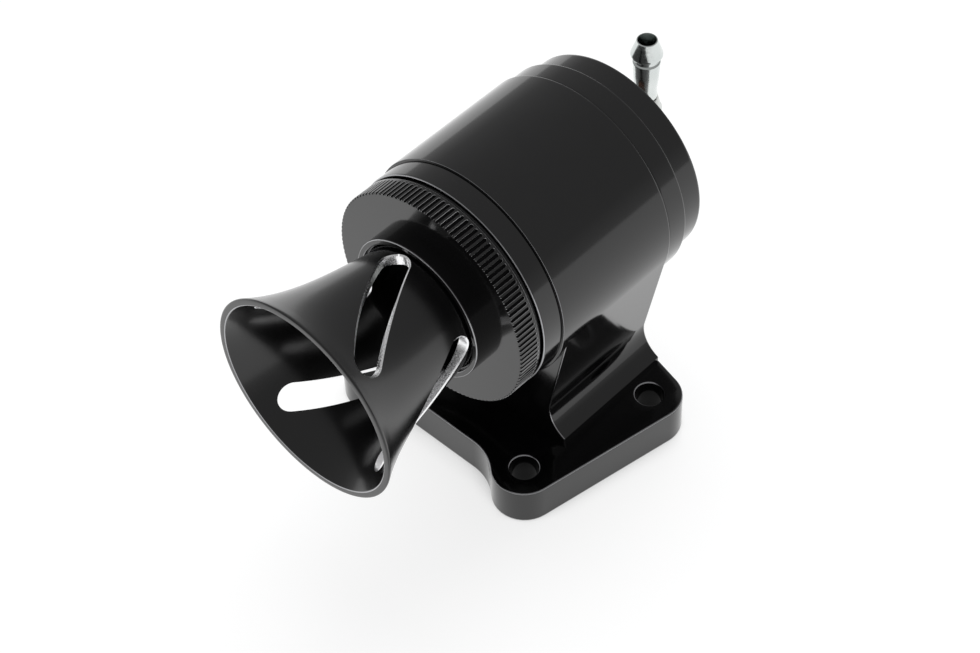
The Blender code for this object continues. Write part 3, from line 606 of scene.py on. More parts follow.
def make_tree(name, sockets):
    """A new geometry tree whose modifier has these named inputs."""
    tree = bpy.data.node_groups.new(name, "GeometryNodeTree")
    tree.interface.new_socket("Geometry", in_out="OUTPUT", socket_type="NodeSocketGeometry")
    tree.interface.new_socket("Geometry", in_out="INPUT", socket_type="NodeSocketGeometry")
    for label, kind in sockets:
        tree.interface.new_socket(label, in_out="INPUT", socket_type=kind)
    return tree, tree.nodes.new("NodeGroupInput").outputs, tree.nodes.new("NodeGroupOutput")


def run_tree(piece, tree, values):
    """Runs the tree on the piece with its inputs set, and leaves a plain mesh."""
    modifier = piece.modifiers.new(tree.name, "NODES")
    modifier.node_group = tree
    for item in tree.interface.items_tree:
        if item.in_out == "INPUT" and item.name in values:
            modifier[item.identifier] = values[item.name]
    plain_mesh(piece)


# Bright metal on the flutes' crest edges: a painted highlight, on crests that are partly worn.
crest_wear_and_highlight = machined(
    "worn_crest_finish",
    (0.34, 0.34, 0.345),
    (0.60, 0.60, 0.61),
    1.0,
    (0.20, 0.34),
    0.000001,
    0.000003,
)
# A darker, duller black for the flute troughs: painted shade where the deep grooves lie in shadow.
groove_painted_shade = machined(
    "milled_groove_finish",
    (0.0012, 0.0012, 0.0014),
    (0.0024, 0.0024, 0.0026),
    0.0,
    (0.5, 0.7),
    0.0,
    0.000003,
    1.2,
)
# Corners with a fourth value take the bright edge metal: painted highlight lines.
cap_corners = [
    (cap_front, cap_radius - flute_face, 0),
    (cap_front, boss_radius, 0),
    (boss_front, boss_radius, boss_edge, "worn_highlight"),
    (boss_front, boss_mouth_radius, boss_mouth_edge, "worn_highlight"),
    (boss_front + boss_mouth_depth, boss_mouth_radius, 0),
    (boss_front + boss_mouth_depth, cap_bore_radius, fine_edge, "worn_highlight"),
    (cap_step, cap_bore_radius, 0),
    (cap_step, cap_step_radius, 0),
    (cap_floor, cap_step_radius, 0),
    (cap_floor, cap_thread_radius, 0),
    (cap_rear, cap_thread_radius, 0),
    (cap_rear, cap_radius, cap_edge, "worn_highlight"),
    (rim_rear, cap_radius, 0),
]
cap_bm = turned(eased(cap_corners), 2 * flute_count)
open_band = []
for face in cap_bm.faces:
    spans = [vert.co.y - shoulder for vert in face.verts]
    radii = [math.hypot(vert.co.x - axis_x, vert.co.z - axis_height) for vert in face.verts]
    whole_rim = min(spans) < cap_front + hair and max(spans) > rim_rear - hair
    if whole_rim and min(radii) > boss_radius:
        open_band.append(face)
bmesh.ops.delete(cap_bm, geom=open_band, context="FACES_ONLY")
front_cap = finished("front_cap_fluted", cap_bm, black_anodised, second=edge_wear_and_highlight)
flute_cell = finished("flute_cell", make_flute_cell(), black_anodised, second=crest_wear_and_highlight)
flute_cell.data.materials.append(groove_painted_shade)

tree, given, result = make_tree(
    "flutes_round_the_rim",
    [
        ("Flute", "NodeSocketObject"),
        ("Flutes", "NodeSocketInt"),
        ("Axis", "NodeSocketVector"),
        ("Finish", "NodeSocketMaterial"),
    ],
)
spots = make_node(tree, "GeometryNodeMeshLine", {"Count": given["Flutes"], "Offset": (0, 0, 0)})
cell = make_node(tree, "GeometryNodeObjectInfo", {"Object": given["Flute"]})
index = make_node(tree, "GeometryNodeInputIndex").outputs["Index"]
full_turn = calculate(tree, "MULTIPLY", index, 2 * math.pi)
turn = calculate(tree, "DIVIDE", full_turn, given["Flutes"])
rotation = make_node(tree, "ShaderNodeCombineXYZ", {"Y": turn}).outputs["Vector"]
copies = make_node(
    tree,
    "GeometryNodeInstanceOnPoints",
    {"Points": spots.outputs["Mesh"], "Instance": cell.outputs["Geometry"], "Rotation": rotation},
)
moved = make_node(
    tree,
    "GeometryNodeTransform",
    {"Geometry": copies.outputs["Instances"], "Translation": given["Axis"]},
)
real = make_node(tree, "GeometryNodeRealizeInstances", {"Geometry": moved.outputs["Geometry"]})
finish_index = make_node(tree, "GeometryNodeInputMaterialIndex").outputs["Material Index"]
on_land = calculate(tree, "LESS_THAN", finish_index, 0.5)
coated = make_node(
    tree,
    "GeometryNodeSetMaterial",
    {"Geometry": real.outputs["Geometry"], "Selection": on_land, "Material": given["Finish"]},
)
both = make_node(tree, "GeometryNodeJoinGeometry")
tree.links.new(given["Geometry"], both.inputs["Geometry"])
tree.links.new(coated.outputs["Geometry"], both.inputs["Geometry"])
merged = make_node(
    tree,
    "GeometryNodeMergeByDistance",
    {"Geometry": both.outputs["Geometry"], "Distance": merge_reach},
)
tree.links.new(merged.outputs["Geometry"], result.inputs["Geometry"])
run_tree(
    front_cap,
    tree,
    {
        "Flute": flute_cell,
        "Flutes": flute_count,
        "Axis": (axis_x, 0, axis_height),
        "Finish": black_anodised,
    },
)
bpy.data.objects.remove(flute_cell)
smooth(front_cap.data)
fit(front_cap, "housing", "black_anodised", "front_cap")


# Rubber rings: the O-rings in the cap gap, on the trumpet's neck, on the piston's skirt, on the rear cap's
# spigot and in the flange's face. Moulded black rubber, squeezed a little flat in their grooves.
def rubber(name):
    """Black moulded rubber: dull, with a fine matt grain and a slight bloom."""
    grain_scale, bloom_scale, grain_depth = 7000.0, 400.0, 0.000004
    dull, bloomed = (0.010, 0.010, 0.011), (0.022, 0.022, 0.023)
    material, tree, shader = new_finish(name)
    place = make_node(tree, "ShaderNodeTexCoord").outputs["Object"]
    grain = noise(tree, place, grain_scale, 3.0)
    bloom = noise(tree, place, bloom_scale, 4.0)
    tree.links.new(mottled(tree, bloom, dull, bloomed), shader.inputs["Base Color"])
    rough = make_node(
        tree, "ShaderNodeMapRange", {"Value": bloom, "To Min": 0.42, "To Max": 0.68}
    )
    tree.links.new(rough.outputs["Result"], shader.inputs["Roughness"])
    bump = make_node(tree, "ShaderNodeBump", {"Height": grain, "Distance": grain_depth})
    tree.links.new(bump.outputs["Normal"], shader.inputs["Normal"])
    return material


def node_span(node, upright=False):
    """A turned node's (low, high) stations and (inner, outer) radii, read from its corners."""
    corners = [vert.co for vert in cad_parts[node].data.vertices]
    if upright:
        alongs = [co.z for co in corners]
        radii = [math.hypot(co.x - port_centre.x, co.y - port_centre.y) for co in corners]
    else:
        alongs = [co.y - shoulder for co in corners]
        radii = [math.hypot(co.x - axis_x, co.z - axis_height) for co in corners]
    return min(alongs), max(alongs), min(radii), max(radii)


def ring_section(low, high, inner, outer):
    """A squeezed O-ring's section: a superellipse that fills its groove."""
    squareness = 0.7
    steps = 20
    middle, centre = (low + high) / 2, (inner + outer) / 2
    points = []
    for step in range(steps):
        angle = 2 * math.pi * step / steps
        along = math.copysign(abs(math.cos(angle)) ** squareness, math.cos(angle))
        out = math.copysign(abs(math.sin(angle)) ** squareness, math.sin(angle))
        station = middle + along * (high - low) / 2
        points.append((station, centre + out * (outer - inner) / 2, False))
    return points


seal_rubber = rubber("seal_rubber_finish")
ring_segments = 128
ring_crease = 60
ring_bodies = {
    "front_cap_seal": "housing",
    "horn_seal": "housing",
    "piston_seal_front": "piston",
    "piston_seal_rear": "piston",
    "rear_cap_seal": "housing",
}
for node, body in ring_bodies.items():
    ring_bm = turned(ring_section(*node_span(node)), ring_segments)
    ring = finished(node + "_ring", ring_bm, seal_rubber, ring_crease)
    fit(ring, body, "seal_rubber", node)
port_section = ring_section(*node_span("port_seal", True))
port_bm = skinned(upright_rows(port_section, port_segments, port_centre))
port_ring = finished("port_seal_ring", port_bm, seal_rubber, ring_crease)
fit(port_ring, "housing", "seal_rubber", "port_seal")


# Trumpet: turned from bar to a bell that opens by one rule, then slotted by four cuts that wind an eighth of
# a turn round it. Anodised satin black before the slots were cut, so their walls and edges are bright metal.
horn_reach = 0.03285
horn_neck_radius = 0.0154
horn_neck_reach = 0.0010
horn_mouth_radius = 0.02480
horn_taper_share = 0.53
horn_bell_power = 3.4
horn_wall = 0.0018
horn_rim_edge = 0.0008
horn_segments = 240
tail_radius = 0.0146
tail_wall = 0.0017
seat_depth = 0.0025
horn_groove = (0.0013, 0.0016, 0.0010)
slot_count = 4
slot_width = 0.0063
slot_rear_margin = 0.0036
slot_front_margin = 0.0070
slot_start = math.radians(-5.9)
slot_twist = math.radians(45)
slot_edge = 0.0003
horn_gap = 0.0003

horn_mouth = boss_front - horn_reach
horn_start = boss_front - horn_neck_reach
horn_shoulder = cap_step - horn_gap
valve_seat = seat_depth - band_length


def horn_radius(station):
    """The trumpet's outer radius: a slow taper that opens into a bell."""
    share = max(0.0, (horn_start - station) / (horn_start - horn_mouth))
    growth = horn_taper_share * share + (1 - horn_taper_share) * share**horn_bell_power
    return horn_neck_radius + (horn_mouth_radius - horn_neck_radius) * growth


def horn_inside(station):
    """The trumpet's inner radius: an even wall, drawn in at the neck to meet the tail's bore."""
    share = (horn_start - station) / (horn_start - horn_mouth)
    draw = 0.16
    thicker = horn_neck_radius - horn_wall - (tail_radius - tail_wall)
    return horn_radius(station) - horn_wall - thicker * max(0.0, 1 - share / draw) ** 2


def slot_tool(number):
    """A cutter that follows the bell's wall round its twist, with a lip that breaks the slot's edge."""
    rear, front = boss_front - slot_rear_margin, horn_mouth + slot_front_margin
    lead = slot_twist / (rear - front)
    round_steps, straight_steps, first_share = 10, 40, 0.35
    half = slot_width / 2
    marks = []
    for step in range(round_steps):
        turn = math.pi / 2 * (step + first_share) / round_steps
        marks.append((rear, -half * math.cos(turn), half * math.sin(turn)))
    for step in range(straight_steps + 1):
        marks.append((rear + (front - rear) * step / straight_steps, 0, half))
    for step in reversed(range(round_steps)):
        turn = math.pi / 2 * (step + first_share) / round_steps
        marks.append((front, half * math.cos(turn), half * math.sin(turn)))
    levels = (
        (-horn_wall - overcut, 0),
        (-slot_edge, 0),
        (overcut, slot_edge + overcut),
    )
    rows = []
    for station, along, width in marks:
        slant = math.atan(horn_radius(station) * lead)
        row = []
        for height, wider in levels + levels[::-1]:
            side = -1 if len(row) < len(levels) else 1
            scale = (half + wider) / half
            reach = along * scale
            spread = side * width * scale
            place = station - reach * math.cos(slant) + spread * math.sin(slant)
            swing = slot_start + (rear - station) * lead + 2 * math.pi * number / slot_count
            swing += (reach * math.sin(slant) + spread * math.cos(slant)) / horn_radius(place)
            row.append(on_axis(place, horn_radius(place) + height, swing))
        rows.append(row)
    return finished(f"slot_tool_{number + 1}", lofted(rows), bare_metal)


bare_metal = machined(
    "bare_cut_metal",
    (0.84, 0.84, 0.85),
    (0.96, 0.96, 0.97),
    1.0,
    (0.14, 0.42),
    0.000016,
    0.000048,
    grain_scale=2400,
)
groove_station, groove_width, groove_depth = horn_groove
groove_rear = horn_shoulder - groove_station
groove_front = groove_rear - groove_width
tail_bore = tail_radius - tail_wall
bell_steps = 60
bell_length = horn_start - horn_mouth
bell = [horn_start - bell_length * step / bell_steps for step in range(bell_steps + 1)]
bell = [station for station in bell if station > horn_mouth + 2 * horn_rim_edge]
horn_corners = [
    (valve_seat, tail_bore, fine_edge),
    (valve_seat, tail_radius, soft_edge),
    (horn_shoulder, tail_radius, 0),
    (horn_shoulder, horn_neck_radius, fine_edge),
    (groove_rear, horn_neck_radius, 0),
    (groove_rear, horn_neck_radius - groove_depth, 0),
    (groove_front, horn_neck_radius - groove_depth, 0),
    (groove_front, horn_neck_radius, 0),
]
horn_corners += [(station, horn_radius(station), 0) for station in bell]
# The rim's inner edge takes the bright edge metal: a painted highlight.
horn_corners += [
    (horn_mouth, horn_mouth_radius, horn_rim_edge),
    (horn_mouth, horn_mouth_radius - horn_wall, soft_edge, "worn_highlight"),
]
horn_corners += [(station, horn_inside(station), 0) for station in reversed(bell)]
bell_bm = turned(eased(horn_corners), horn_segments)
satin_anodised = machined(
    "satin_anodised_finish", *black_dye, 0.0, (0.17, 0.23), 0.0000012, 0.0000005, 1.52
)
horn = finished("trumpet", bell_bm, satin_anodised, second=edge_wear_and_highlight)
machine(horn, [slot_tool(number) for number in range(slot_count)], "DIFFERENCE")
fit(horn, "housing", "black_anodised", "horn")


# Ring nut and spring shim: flat plated steel rings, the nut notched for a pin spanner. They stay as their
# CAD solids, with a zinc finish that shows the press and lathe marks.
plated = machined(
    "zinc_plated_finish",
    (0.50, 0.52, 0.51),
    (0.66, 0.67, 0.65),
    1.0,
    (0.22, 0.36),
    0.000003,
    0.000002,
)
for node in ("horn_ring_nut", "spring_shim"):
    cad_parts[node].data.materials.clear()
    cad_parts[node].data.materials.append(plated)


# Piston: turned aluminium bell with a flat nose, a narrow waist that the air flows round, and a skirt with
# two ring grooves. Left as machined, and lightly bead blasted.
nose_radius = 0.0164
nose_height = 0.0044
nose_wall = 0.0045
waist_radius = 0.0146
waist_flare = 0.0155
piston_wall = 0.0024
skirt_length = 0.0120
ring_first = 0.0010
ring_pitch = 0.0028
ring_groove = (0.0016, 0.0015)
screw_hole = 0.0025
piston_edge = 0.0004
keen_edge = 0.0001
nose_neck_edge = 0.0006
flare_edge = 0.0012
hollow_edge = 0.0010
piston_segments = 144

piston_front, piston_rear, _, piston_radius = node_span("piston")
skirt = piston_rear - skirt_length
cavity = waist_radius - piston_wall
skirt_inside = piston_radius - piston_wall
piston_corners = [
    (piston_front, screw_hole, fine_edge),
    (piston_front, nose_radius, piston_edge),
    (piston_front + nose_height, nose_radius, piston_edge),
    (piston_front + nose_height + nose_radius - waist_radius, waist_radius, nose_neck_edge),
    (waist_flare, waist_radius, flare_edge),
    (skirt, piston_radius, piston_edge),
]
for number in range(2):
    front = skirt + ring_first + number * ring_pitch
    width, depth = ring_groove
    piston_corners += [
        (front, piston_radius, keen_edge),
        (front, piston_radius - depth, 0),
        (front + width, piston_radius - depth, 0),
        (front + width, piston_radius, keen_edge),
    ]
piston_corners += [
    (piston_rear, piston_radius, piston_edge),
    (piston_rear, skirt_inside, soft_edge),
    (skirt + piston_wall, skirt_inside, hollow_edge),
    (waist_flare + piston_wall, cavity, hollow_edge),
    (piston_front + nose_wall, cavity, hollow_edge),
    (piston_front + nose_wall, screw_hole, 0),
]
alloy = machined(
    "machined_alloy_finish",
    (0.60, 0.60, 0.61),
    (0.74, 0.74, 0.75),
    1.0,
    (0.26, 0.40),
    0.000004,
    0.000003,
)
piston = finished("piston_turned", turned(eased(piston_corners), piston_segments), alloy)
fit(piston, "piston", "piston_alloy", "piston")


# Nose seal, washer and screw: a rubber disc that closes on the trumpet's tail, clamped to the piston's nose
# by a plated washer and a socket-head screw.
def disc(node, inner_edge, outer_edge, segments, finish):
    """A flat ring in its node's place, with its edges taken off."""
    low, high, inner, outer = node_span(node)
    corners = [
        (low, inner, inner_edge),
        (low, outer, outer_edge),
        (high, outer, outer_edge),
        (high, inner, inner_edge),
    ]
    return finished(node + "_disc", turned(eased(corners), segments), finish)


washer_segments = 96
nose_seal = disc("nose_seal", 0, soft_edge, piston_segments, seal_rubber)
fit(nose_seal, "piston", "seal_rubber", "nose_seal")
nose_washer = disc("nose_washer", fine_edge, fine_edge, washer_segments, plated)
fit(nose_washer, "piston", "plated_steel", "nose_washer")

screw_low, screw_high, _, head_radius = node_span("nose_screw")
screw_radius = 0.0022
head_height = 0.0021
head_crown = 0.0007
key_radius = 0.0015
key_depth = 0.0012
thread_pitch = 0.0007
thread_depth = 0.0002
screw_point = 0.0008
screw_segments = 48
head_steps = 6
metal_crease = 30
shank = [(screw_high, screw_point), (screw_high, screw_radius - thread_depth)]
threads = int((screw_high - screw_low - head_height) / thread_pitch)
for number in range(threads):
    crest = screw_high - (number + 0.5) * thread_pitch
    shank += [(crest, screw_radius), (crest - thread_pitch / 2, screw_radius - thread_depth)]
head_rear = screw_low + head_height
head = [(head_rear, screw_radius), (head_rear, head_radius), (screw_low + head_crown, head_radius)]
for step in range(1, head_steps + 1):
    lean = math.pi / 2 * step / head_steps
    inset = head_crown * (1 - math.cos(lean))
    head.append((screw_low + head_crown * (1 - math.sin(lean)), head_radius - inset))
screw_bm = lofted(level_rows(shank + head, screw_segments))
nose_screw = finished("nose_screw_turned", screw_bm, plated, metal_crease)
key = [(screw_low - head_crown, key_radius), (screw_low + key_depth, key_radius)]
key_tool = finished("key_tool", lofted(level_rows(key, 6)), plated)
machine(nose_screw, [key_tool], "DIFFERENCE", metal_crease)
fit(nose_screw, "piston", "plated_steel", "nose_screw")


# Spring: round spring-steel wire coiled cold, with closed ends. It stands between the piston's nose and the
# shim, where its front end moves with the piston in use; here it is one fixed coil that follows no body.
spring_low, spring_high, _, spring_out = node_span("spring")
wire_radius = 0.0009
live_turns = 6.0
dead_turns = 0.75
wire_gap = 0.0002
wire_points = 361
wire_sides = 16
wire_crease = 50
coil_radius = spring_out - wire_radius

tree, given, result = make_tree(
    "coil_spring",
    [
        ("Points", "NodeSocketInt"),
        ("Coil Radius", "NodeSocketFloat"),
        ("Wire Radius", "NodeSocketFloat"),
        ("Live Turns", "NodeSocketFloat"),
        ("Dead Turns", "NodeSocketFloat"),
        ("Dead Rise", "NodeSocketFloat"),
        ("Live Rise", "NodeSocketFloat"),
        ("Start", "NodeSocketVector"),
        ("Finish", "NodeSocketMaterial"),
    ],
)
line = make_node(tree, "GeometryNodeMeshLine", {"Count": given["Points"], "Offset": (0, 0, 0)})
index = make_node(tree, "GeometryNodeInputIndex").outputs["Index"]
both_dead = calculate(tree, "MULTIPLY", given["Dead Turns"], 2.0)
all_turns = calculate(tree, "ADD", given["Live Turns"], both_dead)
last_point = calculate(tree, "SUBTRACT", given["Points"], 1.0)
share = calculate(tree, "DIVIDE", index, last_point)
turns = calculate(tree, "MULTIPLY", share, all_turns)
first_dead = calculate(tree, "MINIMUM", turns, given["Dead Turns"])
live_end = calculate(tree, "ADD", given["Dead Turns"], given["Live Turns"])
last_dead = calculate(tree, "MAXIMUM", calculate(tree, "SUBTRACT", turns, live_end), 0.0)
dead = calculate(tree, "ADD", first_dead, last_dead)
live = calculate(tree, "SUBTRACT", turns, dead)
dead_way = calculate(tree, "MULTIPLY", dead, given["Dead Rise"])
live_way = calculate(tree, "MULTIPLY", live, given["Live Rise"])
along = calculate(tree, "ADD", dead_way, live_way)
angle = calculate(tree, "MULTIPLY", turns, 2 * math.pi)
side = calculate(tree, "MULTIPLY", calculate(tree, "COSINE", angle), given["Coil Radius"])
drop = calculate(tree, "MULTIPLY", calculate(tree, "SINE", angle), given["Coil Radius"])
down = calculate(tree, "MULTIPLY", drop, -1.0)
offset = make_node(tree, "ShaderNodeCombineXYZ", {"X": side, "Y": along, "Z": down})
place = make_node(
    tree, "ShaderNodeVectorMath", {0: offset.outputs["Vector"], 1: given["Start"]}, operation="ADD"
)
coiled = make_node(
    tree,
    "GeometryNodeSetPosition",
    {"Geometry": line.outputs["Mesh"], "Position": place.outputs["Vector"]},
)
path = make_node(tree, "GeometryNodeMeshToCurve", {"Mesh": coiled.outputs["Geometry"]})
wire = make_node(
    tree,
    "GeometryNodeCurvePrimitiveCircle",
    {"Resolution": wire_sides, "Radius": given["Wire Radius"]},
)
drawn = make_node(
    tree,
    "GeometryNodeCurveToMesh",
    {
        "Curve": path.outputs["Curve"],
        "Profile Curve": wire.outputs["Curve"],
        "Fill Caps": True,
    },
)
real = make_node(tree, "GeometryNodeRealizeInstances", {"Geometry": drawn.outputs["Mesh"]})
coated = make_node(
    tree,
    "GeometryNodeSetMaterial",
    {"Geometry": real.outputs["Geometry"], "Material": given["Finish"]},
)
tree.links.new(coated.outputs["Geometry"], result.inputs["Geometry"])

spring_steel = machined(
    "spring_steel_finish",
    (0.30, 0.30, 0.31),
    (0.46, 0.46, 0.48),
    1.0,
    (0.22, 0.36),
    0.000002,
    0.000002,
)
dead_rise = 2 * wire_radius + wire_gap
free_length = spring_high - spring_low - 2 * wire_radius
spring = stood("spring_coiled", bpy.data.meshes.new("spring_coiled"))
run_tree(
    spring,
    tree,
    {
        "Points": wire_points,
        "Coil Radius": coil_radius,
        "Wire Radius": wire_radius,
        "Live Turns": live_turns,
        "Dead Turns": dead_turns,
        "Dead Rise": dead_rise,
        "Live Rise": (free_length - 2 * dead_turns * dead_rise) / live_turns,
        "Start": (axis_x, shoulder + spring_low + wire_radius, axis_height),
        "Finish": spring_steel,
    },
)
smooth(spring.data, wire_crease)
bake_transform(spring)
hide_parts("spring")


# Rear cap: a stepped cap turned from aluminium and black anodised, screwed into the barrel by its spigot.
# Its band is a hair under the barrel's size, and its nose a step smaller.
rear_low, rear_high, _, rear_band_radius = node_span("rear_cap")
rear_nose_radius = 0.0250
rear_nose_length = 0.0070
rear_edge = 0.0007
rear_wall = 0.0031
rear_gap = 0.0003
pocket_radius = 0.0214
spigot_radius = 0.0240
rear_groove = (0.0009, 0.0016, 0.0011)
elbow_hole = 0.0043

groove_station, groove_width, groove_depth = rear_groove
groove_front = rear_low + groove_station
rear_cap_front = barrel_length + rear_gap
rear_step = rear_high - rear_nose_length
rear_corners = [
    (rear_low, pocket_radius, 0),
    (rear_low, spigot_radius, fine_edge),
    (groove_front, spigot_radius, 0),
    (groove_front, spigot_radius - groove_depth, 0),
    (groove_front + groove_width, spigot_radius - groove_depth, 0),
    (groove_front + groove_width, spigot_radius, 0),
    (rear_cap_front, spigot_radius, 0),
    (rear_cap_front, rear_band_radius, body_edge),
    (rear_step + rear_gap, rear_band_radius, body_edge),
    (rear_step + rear_gap, rear_nose_radius, 0),
    (rear_high, rear_nose_radius, rear_edge),
    (rear_high, elbow_hole, soft_edge),
    (rear_high - rear_wall, elbow_hole, 0),
    (rear_high - rear_wall, pocket_radius, 0),
]
rear_bm = turned(eased(rear_corners), barrel_segments)
rear_cap = finished("rear_cap_turned", rear_bm, black_anodised)
fit(rear_cap, "housing", "black_anodised", "rear_cap")


# Elbow: a zinc-plated steel block with a threaded stub into the rear cap, a hexagon to turn it by, a round
# body and an upright socket for the nipple. A brown fibre washer seals it.
stub_low, stub_high, _, _ = node_span("elbow_block")
stub_radius = 0.0040
hexagon_radius = 0.0060
hexagon_station = 0.0480
hexagon_height = 0.0020
elbow_radius = 0.0038
vacuum_bore = 0.0014
socket_radius = 0.0037
socket_rise = 0.0065
collar_radius = 0.0026
collar_rise = 0.0030
spigot_depth = 0.0033
spigot_hole = 0.0022
stub_pitch = 0.0010
stub_thread = 0.0003
socket_root = 0.0005
riser_root = 0.0003
collar_edge = 0.0002
elbow_segments = 96
socket_segments = 80
ball_steps = 16

elbow_station = stub_high - elbow_radius
stub_rows = [(elbow_station + vacuum_bore / 2, vacuum_bore), (stub_low, vacuum_bore)]
stub_rows.append((stub_low, stub_radius - stub_thread))
for number in range(int((hexagon_station - stub_low) / stub_pitch)):
    crest = stub_low + (number + 0.5) * stub_pitch
    stub_rows += [(crest, stub_radius), (crest + stub_pitch / 2, stub_radius - stub_thread)]
hexagon_rear = hexagon_station + hexagon_height
hexagon_edge = 0.0003
hexagon_rows = [
    (hexagon_station, hexagon_radius - hexagon_edge),
    (hexagon_station + hexagon_edge, hexagon_radius),
    (hexagon_rear - hexagon_edge, hexagon_radius),
    (hexagon_rear, hexagon_radius - hexagon_edge),
]
ball_rows = [(hexagon_rear, elbow_radius)]
for step in range(ball_steps):
    lean = math.pi / 2 * step / ball_steps
    ball_station = elbow_station + elbow_radius * math.sin(lean)
    ball_rows.append((ball_station, elbow_radius * math.cos(lean)))
elbow_rows = []
for station, radius in stub_rows + hexagon_rows + ball_rows:
    row = []
    for k in range(elbow_segments):
        angle = 2 * math.pi * k / elbow_segments
        flat = math.cos(math.pi / 6) / math.cos(angle % (math.pi / 3) - math.pi / 6)
        on_hexagon = radius > hexagon_radius - 2 * hexagon_edge
        row.append(on_axis(station, radius * flat if on_hexagon else radius, angle))
    elbow_rows.append(row)
elbow = finished("elbow_plated", lofted(elbow_rows), plated, metal_crease)
elbow_centre = Vector((axis_x, shoulder + elbow_station, 0))
collar_top = axis_height + socket_rise + collar_rise
socket_profile = [
    (axis_height + socket_root, socket_radius),
    (axis_height + socket_rise - collar_edge, socket_radius),
    (axis_height + socket_rise + collar_edge, socket_radius - collar_edge),
    (collar_top - collar_edge, collar_radius + collar_edge),
    (collar_top, collar_radius),
]
socket_rows = upright_rows(socket_profile, socket_segments, elbow_centre)
socket_form = finished("socket_form", lofted(socket_rows), plated)
machine(elbow, [socket_form], "UNION", metal_crease)
riser_profile = [
    (axis_height + riser_root, vacuum_bore),
    (collar_top - spigot_depth, vacuum_bore),
    (collar_top - spigot_depth, spigot_hole),
    (collar_top + overcut, spigot_hole),
]
riser_rows = upright_rows(riser_profile, hole_segments, elbow_centre)
riser_tool = finished("riser_tool", lofted(riser_rows), plated)
machine(elbow, [riser_tool], "DIFFERENCE", metal_crease)
fit(elbow, "housing", "plated_steel", "elbow_block")

fibre = machined(
    "brown_fibre_finish",
    (0.070, 0.030, 0.020),
    (0.12, 0.055, 0.035),
    0.0,
    (0.60, 0.80),
    0.000001,
    0.000010,
)
elbow_washer = disc("elbow_washer", keen_edge, fine_edge, washer_segments, fibre)
fit(elbow_washer, "housing", "fibre", "elbow_washer")


# Vacuum nipple: turned steel with a slim waist, a stem with one low rib, and a sharp barb under the tip that
# grips the hose. Bright zinc, pressed into the elbow.
nipple_low, nipple_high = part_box("vacuum_nipple")
spigot_length = 0.0030
spigot_radius = 0.0019
nipple_neck = 0.0025
stem_radius = 0.0031
barb_radius = 0.0036
tip_radius = 0.00235
mouth_radius = 0.0021
mouth_depth = 0.0030
barb_drop = 0.0041
rib_drop = 0.0019
waist_rise = 0.0020
waist_edge = 0.0006
base_rim = 0.0008
stem_length = 0.0040
stem_taper = 0.0002
stem_edge = 0.0008
rib_height = 0.0004
barb_undercut = (0.0002, 0.0003)
barb_land = 0.0005
tip_taper = 0.00005
nipple_segments = 96

nipple_bright = machined(
    "bright_zinc_finish",
    (0.46, 0.50, 0.49),
    (0.72, 0.74, 0.73),
    1.0,
    (0.10, 0.24),
    0.000002,
    0.000014,
    grain_scale=1500,
)
base = nipple_low.z + spigot_length
tip = nipple_high.z
barb = tip - barb_drop
rib = barb - rib_drop
waist = base + waist_rise
nipple_corners = [
    (nipple_low.z, vacuum_bore, keen_edge),
    (nipple_low.z, spigot_radius, keen_edge),
    (base, spigot_radius, 0),
    (base, collar_radius, keen_edge),
    (base + base_rim, collar_radius, fine_edge),
    (waist, nipple_neck, waist_edge),
    (rib - stem_length, stem_radius - stem_taper, stem_edge),
    (rib, stem_radius, keen_edge),
    (rib + rib_height, stem_radius - rib_height, keen_edge),
    (barb - barb_undercut[0], stem_radius - barb_undercut[1], 0),
    (barb, barb_radius, keen_edge),
    (barb + barb_land, barb_radius, keen_edge),
    (tip, tip_radius - tip_taper, keen_edge),
    (tip, mouth_radius, 0),
    (tip - mouth_depth, vacuum_bore, 0),
]
nipple_rows = upright_rows(eased(nipple_corners), nipple_segments, elbow_centre)
nipple = finished("vacuum_nipple_turned", skinned(nipple_rows), nipple_bright)
fit(nipple, "housing", "plated_steel", "vacuum_nipple")


# Floor: a large sheet of white card, lit from above and a little from within, so that it stays white where
# the lamps are plain and still keeps the valve's soft shadow. Its glow is darkened next to the valve and
# inside the bolt holes by an occlusion pass: a painted contact shadow.
floor_reach = 6.0
floor_glow = 0.80
floor_glow_in_metal = 0.96
contact_reach = 0.010
contact_samples = 8
fibre_scale = 40.0
floor_bm = bmesh.new()
corners = [(-1, -1), (1, -1), (1, 1), (-1, 1)]
floor_bm.faces.new([floor_bm.verts.new((x * floor_reach, y * floor_reach, 0)) for x, y in corners])
floor_card, tree, plain_shader = new_finish("white_card")
tree.nodes.remove(plain_shader)
place = make_node(tree, "ShaderNodeTexCoord").outputs["Object"]
fibres = noise(tree, place, fibre_scale, 2.0)
tone = mottled(tree, fibres, (0.262, 0.265, 0.268), (0.275, 0.275, 0.275))
lit = make_node(tree, "ShaderNodeBsdfDiffuse", {"Color": tone})
ray = make_node(tree, "ShaderNodeLightPath").outputs
seen = calculate(tree, "MAXIMUM", ray["Is Camera Ray"], ray["Is Transmission Ray"])
seen = calculate(tree, "MULTIPLY", seen, floor_glow)
strength = calculate(tree, "MULTIPLY_ADD", ray["Is Glossy Ray"], floor_glow_in_metal, seen)
shade = make_node(tree, "ShaderNodeAmbientOcclusion", {"Distance": contact_reach}, samples=contact_samples)
# Painted contact shadow: the glow's colour drops where the occlusion pass finds the valve close by.
painted_contact_shade = make_node(
    tree,
    "ShaderNodeMapRange",
    {
        "Value": shade.outputs["AO"],
        "From Min": 0.1,
        "From Max": 0.6,
        "To Min": 0.08,
        "To Max": 1.0,
    },
)
glow = make_node(
    tree,
    "ShaderNodeEmission",
    {"Color": painted_contact_shade.outputs["Result"], "Strength": strength},
)
both = make_node(
    tree, "ShaderNodeAddShader", {0: lit.outputs["BSDF"], 1: glow.outputs["Emission"]}
)
tree.links.new(both.outputs["Shader"], tree.nodes["Material Output"].inputs["Surface"])
floor = finished("floor", floor_bm, floor_card)


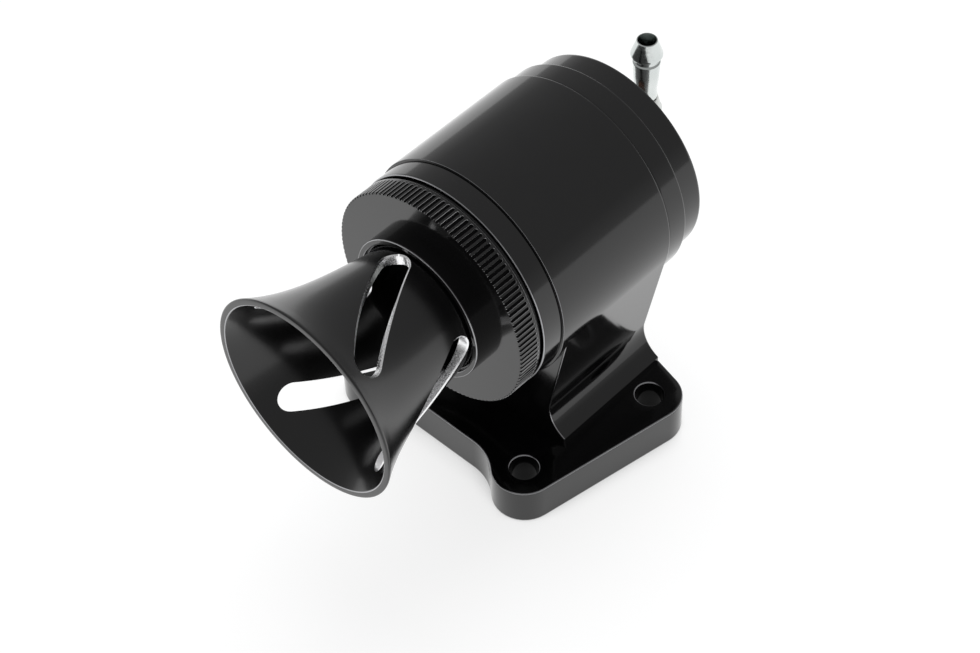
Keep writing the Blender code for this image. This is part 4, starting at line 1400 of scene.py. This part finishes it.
# Light: an even grey studio that brightens towards the horizon, and one soft lamp above and behind on the
# left, which throws the faint shadow towards the camera.
sky_grey = 0.42
horizon_grey = 0.62
horizon_height = 0.30
lamp_strength = 1.9
lamp_angle = math.radians(50)
lamp_way = Vector((0.38, -0.42, -0.82))

world = bpy.data.worlds.new("studio")
bpy.context.scene.world = world
world.use_nodes = True
tree = world.node_tree
way = make_node(tree, "ShaderNodeTexCoord").outputs["Generated"]
height = make_node(tree, "ShaderNodeSeparateXYZ", {"Vector": way}).outputs["Z"]
level = make_node(
    tree,
    "ShaderNodeMapRange",
    {"Value": height, "From Max": horizon_height, "To Min": horizon_grey, "To Max": sky_grey},
)
tree.links.new(level.outputs["Result"], tree.nodes["Background"].inputs["Strength"])
tree.nodes["Background"].inputs["Color"].default_value = (1, 1, 1, 1)

lamp_data = bpy.data.lights.new("soft_lamp", "SUN")
lamp_data.energy = lamp_strength
lamp_data.angle = lamp_angle
lamp = stood("soft_lamp", lamp_data)
lamp.rotation_euler = lamp_way.to_track_quat("-Z", "Y").to_euler()
lamp.visible_glossy = False


# Camera: a long lens from the front right and above, where the photograph was taken from. Its place is
# counted from the barrel's axis and front shoulder, and it rolls a little as the photographer's did.
camera_place = Vector((axis_x + 0.23258, shoulder - 0.22737, 0.40008))
camera_yaw = math.radians(44.965)
camera_pitch = math.radians(-48.634)
camera_roll = math.radians(2.552)
camera_lens = 82.81

camera_data = bpy.data.cameras.new("camera")
camera_data.sensor_width = 36
camera_data.sensor_fit = "HORIZONTAL"
camera_data.lens = camera_lens
camera_data.clip_start = 0.01
camera_data.clip_end = 50
camera = stood("camera", camera_data)
turn = Matrix.Rotation(camera_yaw, 4, "Z") @ Matrix.Rotation(camera_pitch, 4, "X")
turn = turn @ Matrix.Rotation(camera_roll, 4, "Y") @ Matrix.Rotation(math.pi / 2, 4, "X")
camera.matrix_world = Matrix.Translation(camera_place) @ turn
bpy.context.scene.camera = camera
bpy.context.scene.view_settings.view_transform = "Standard"
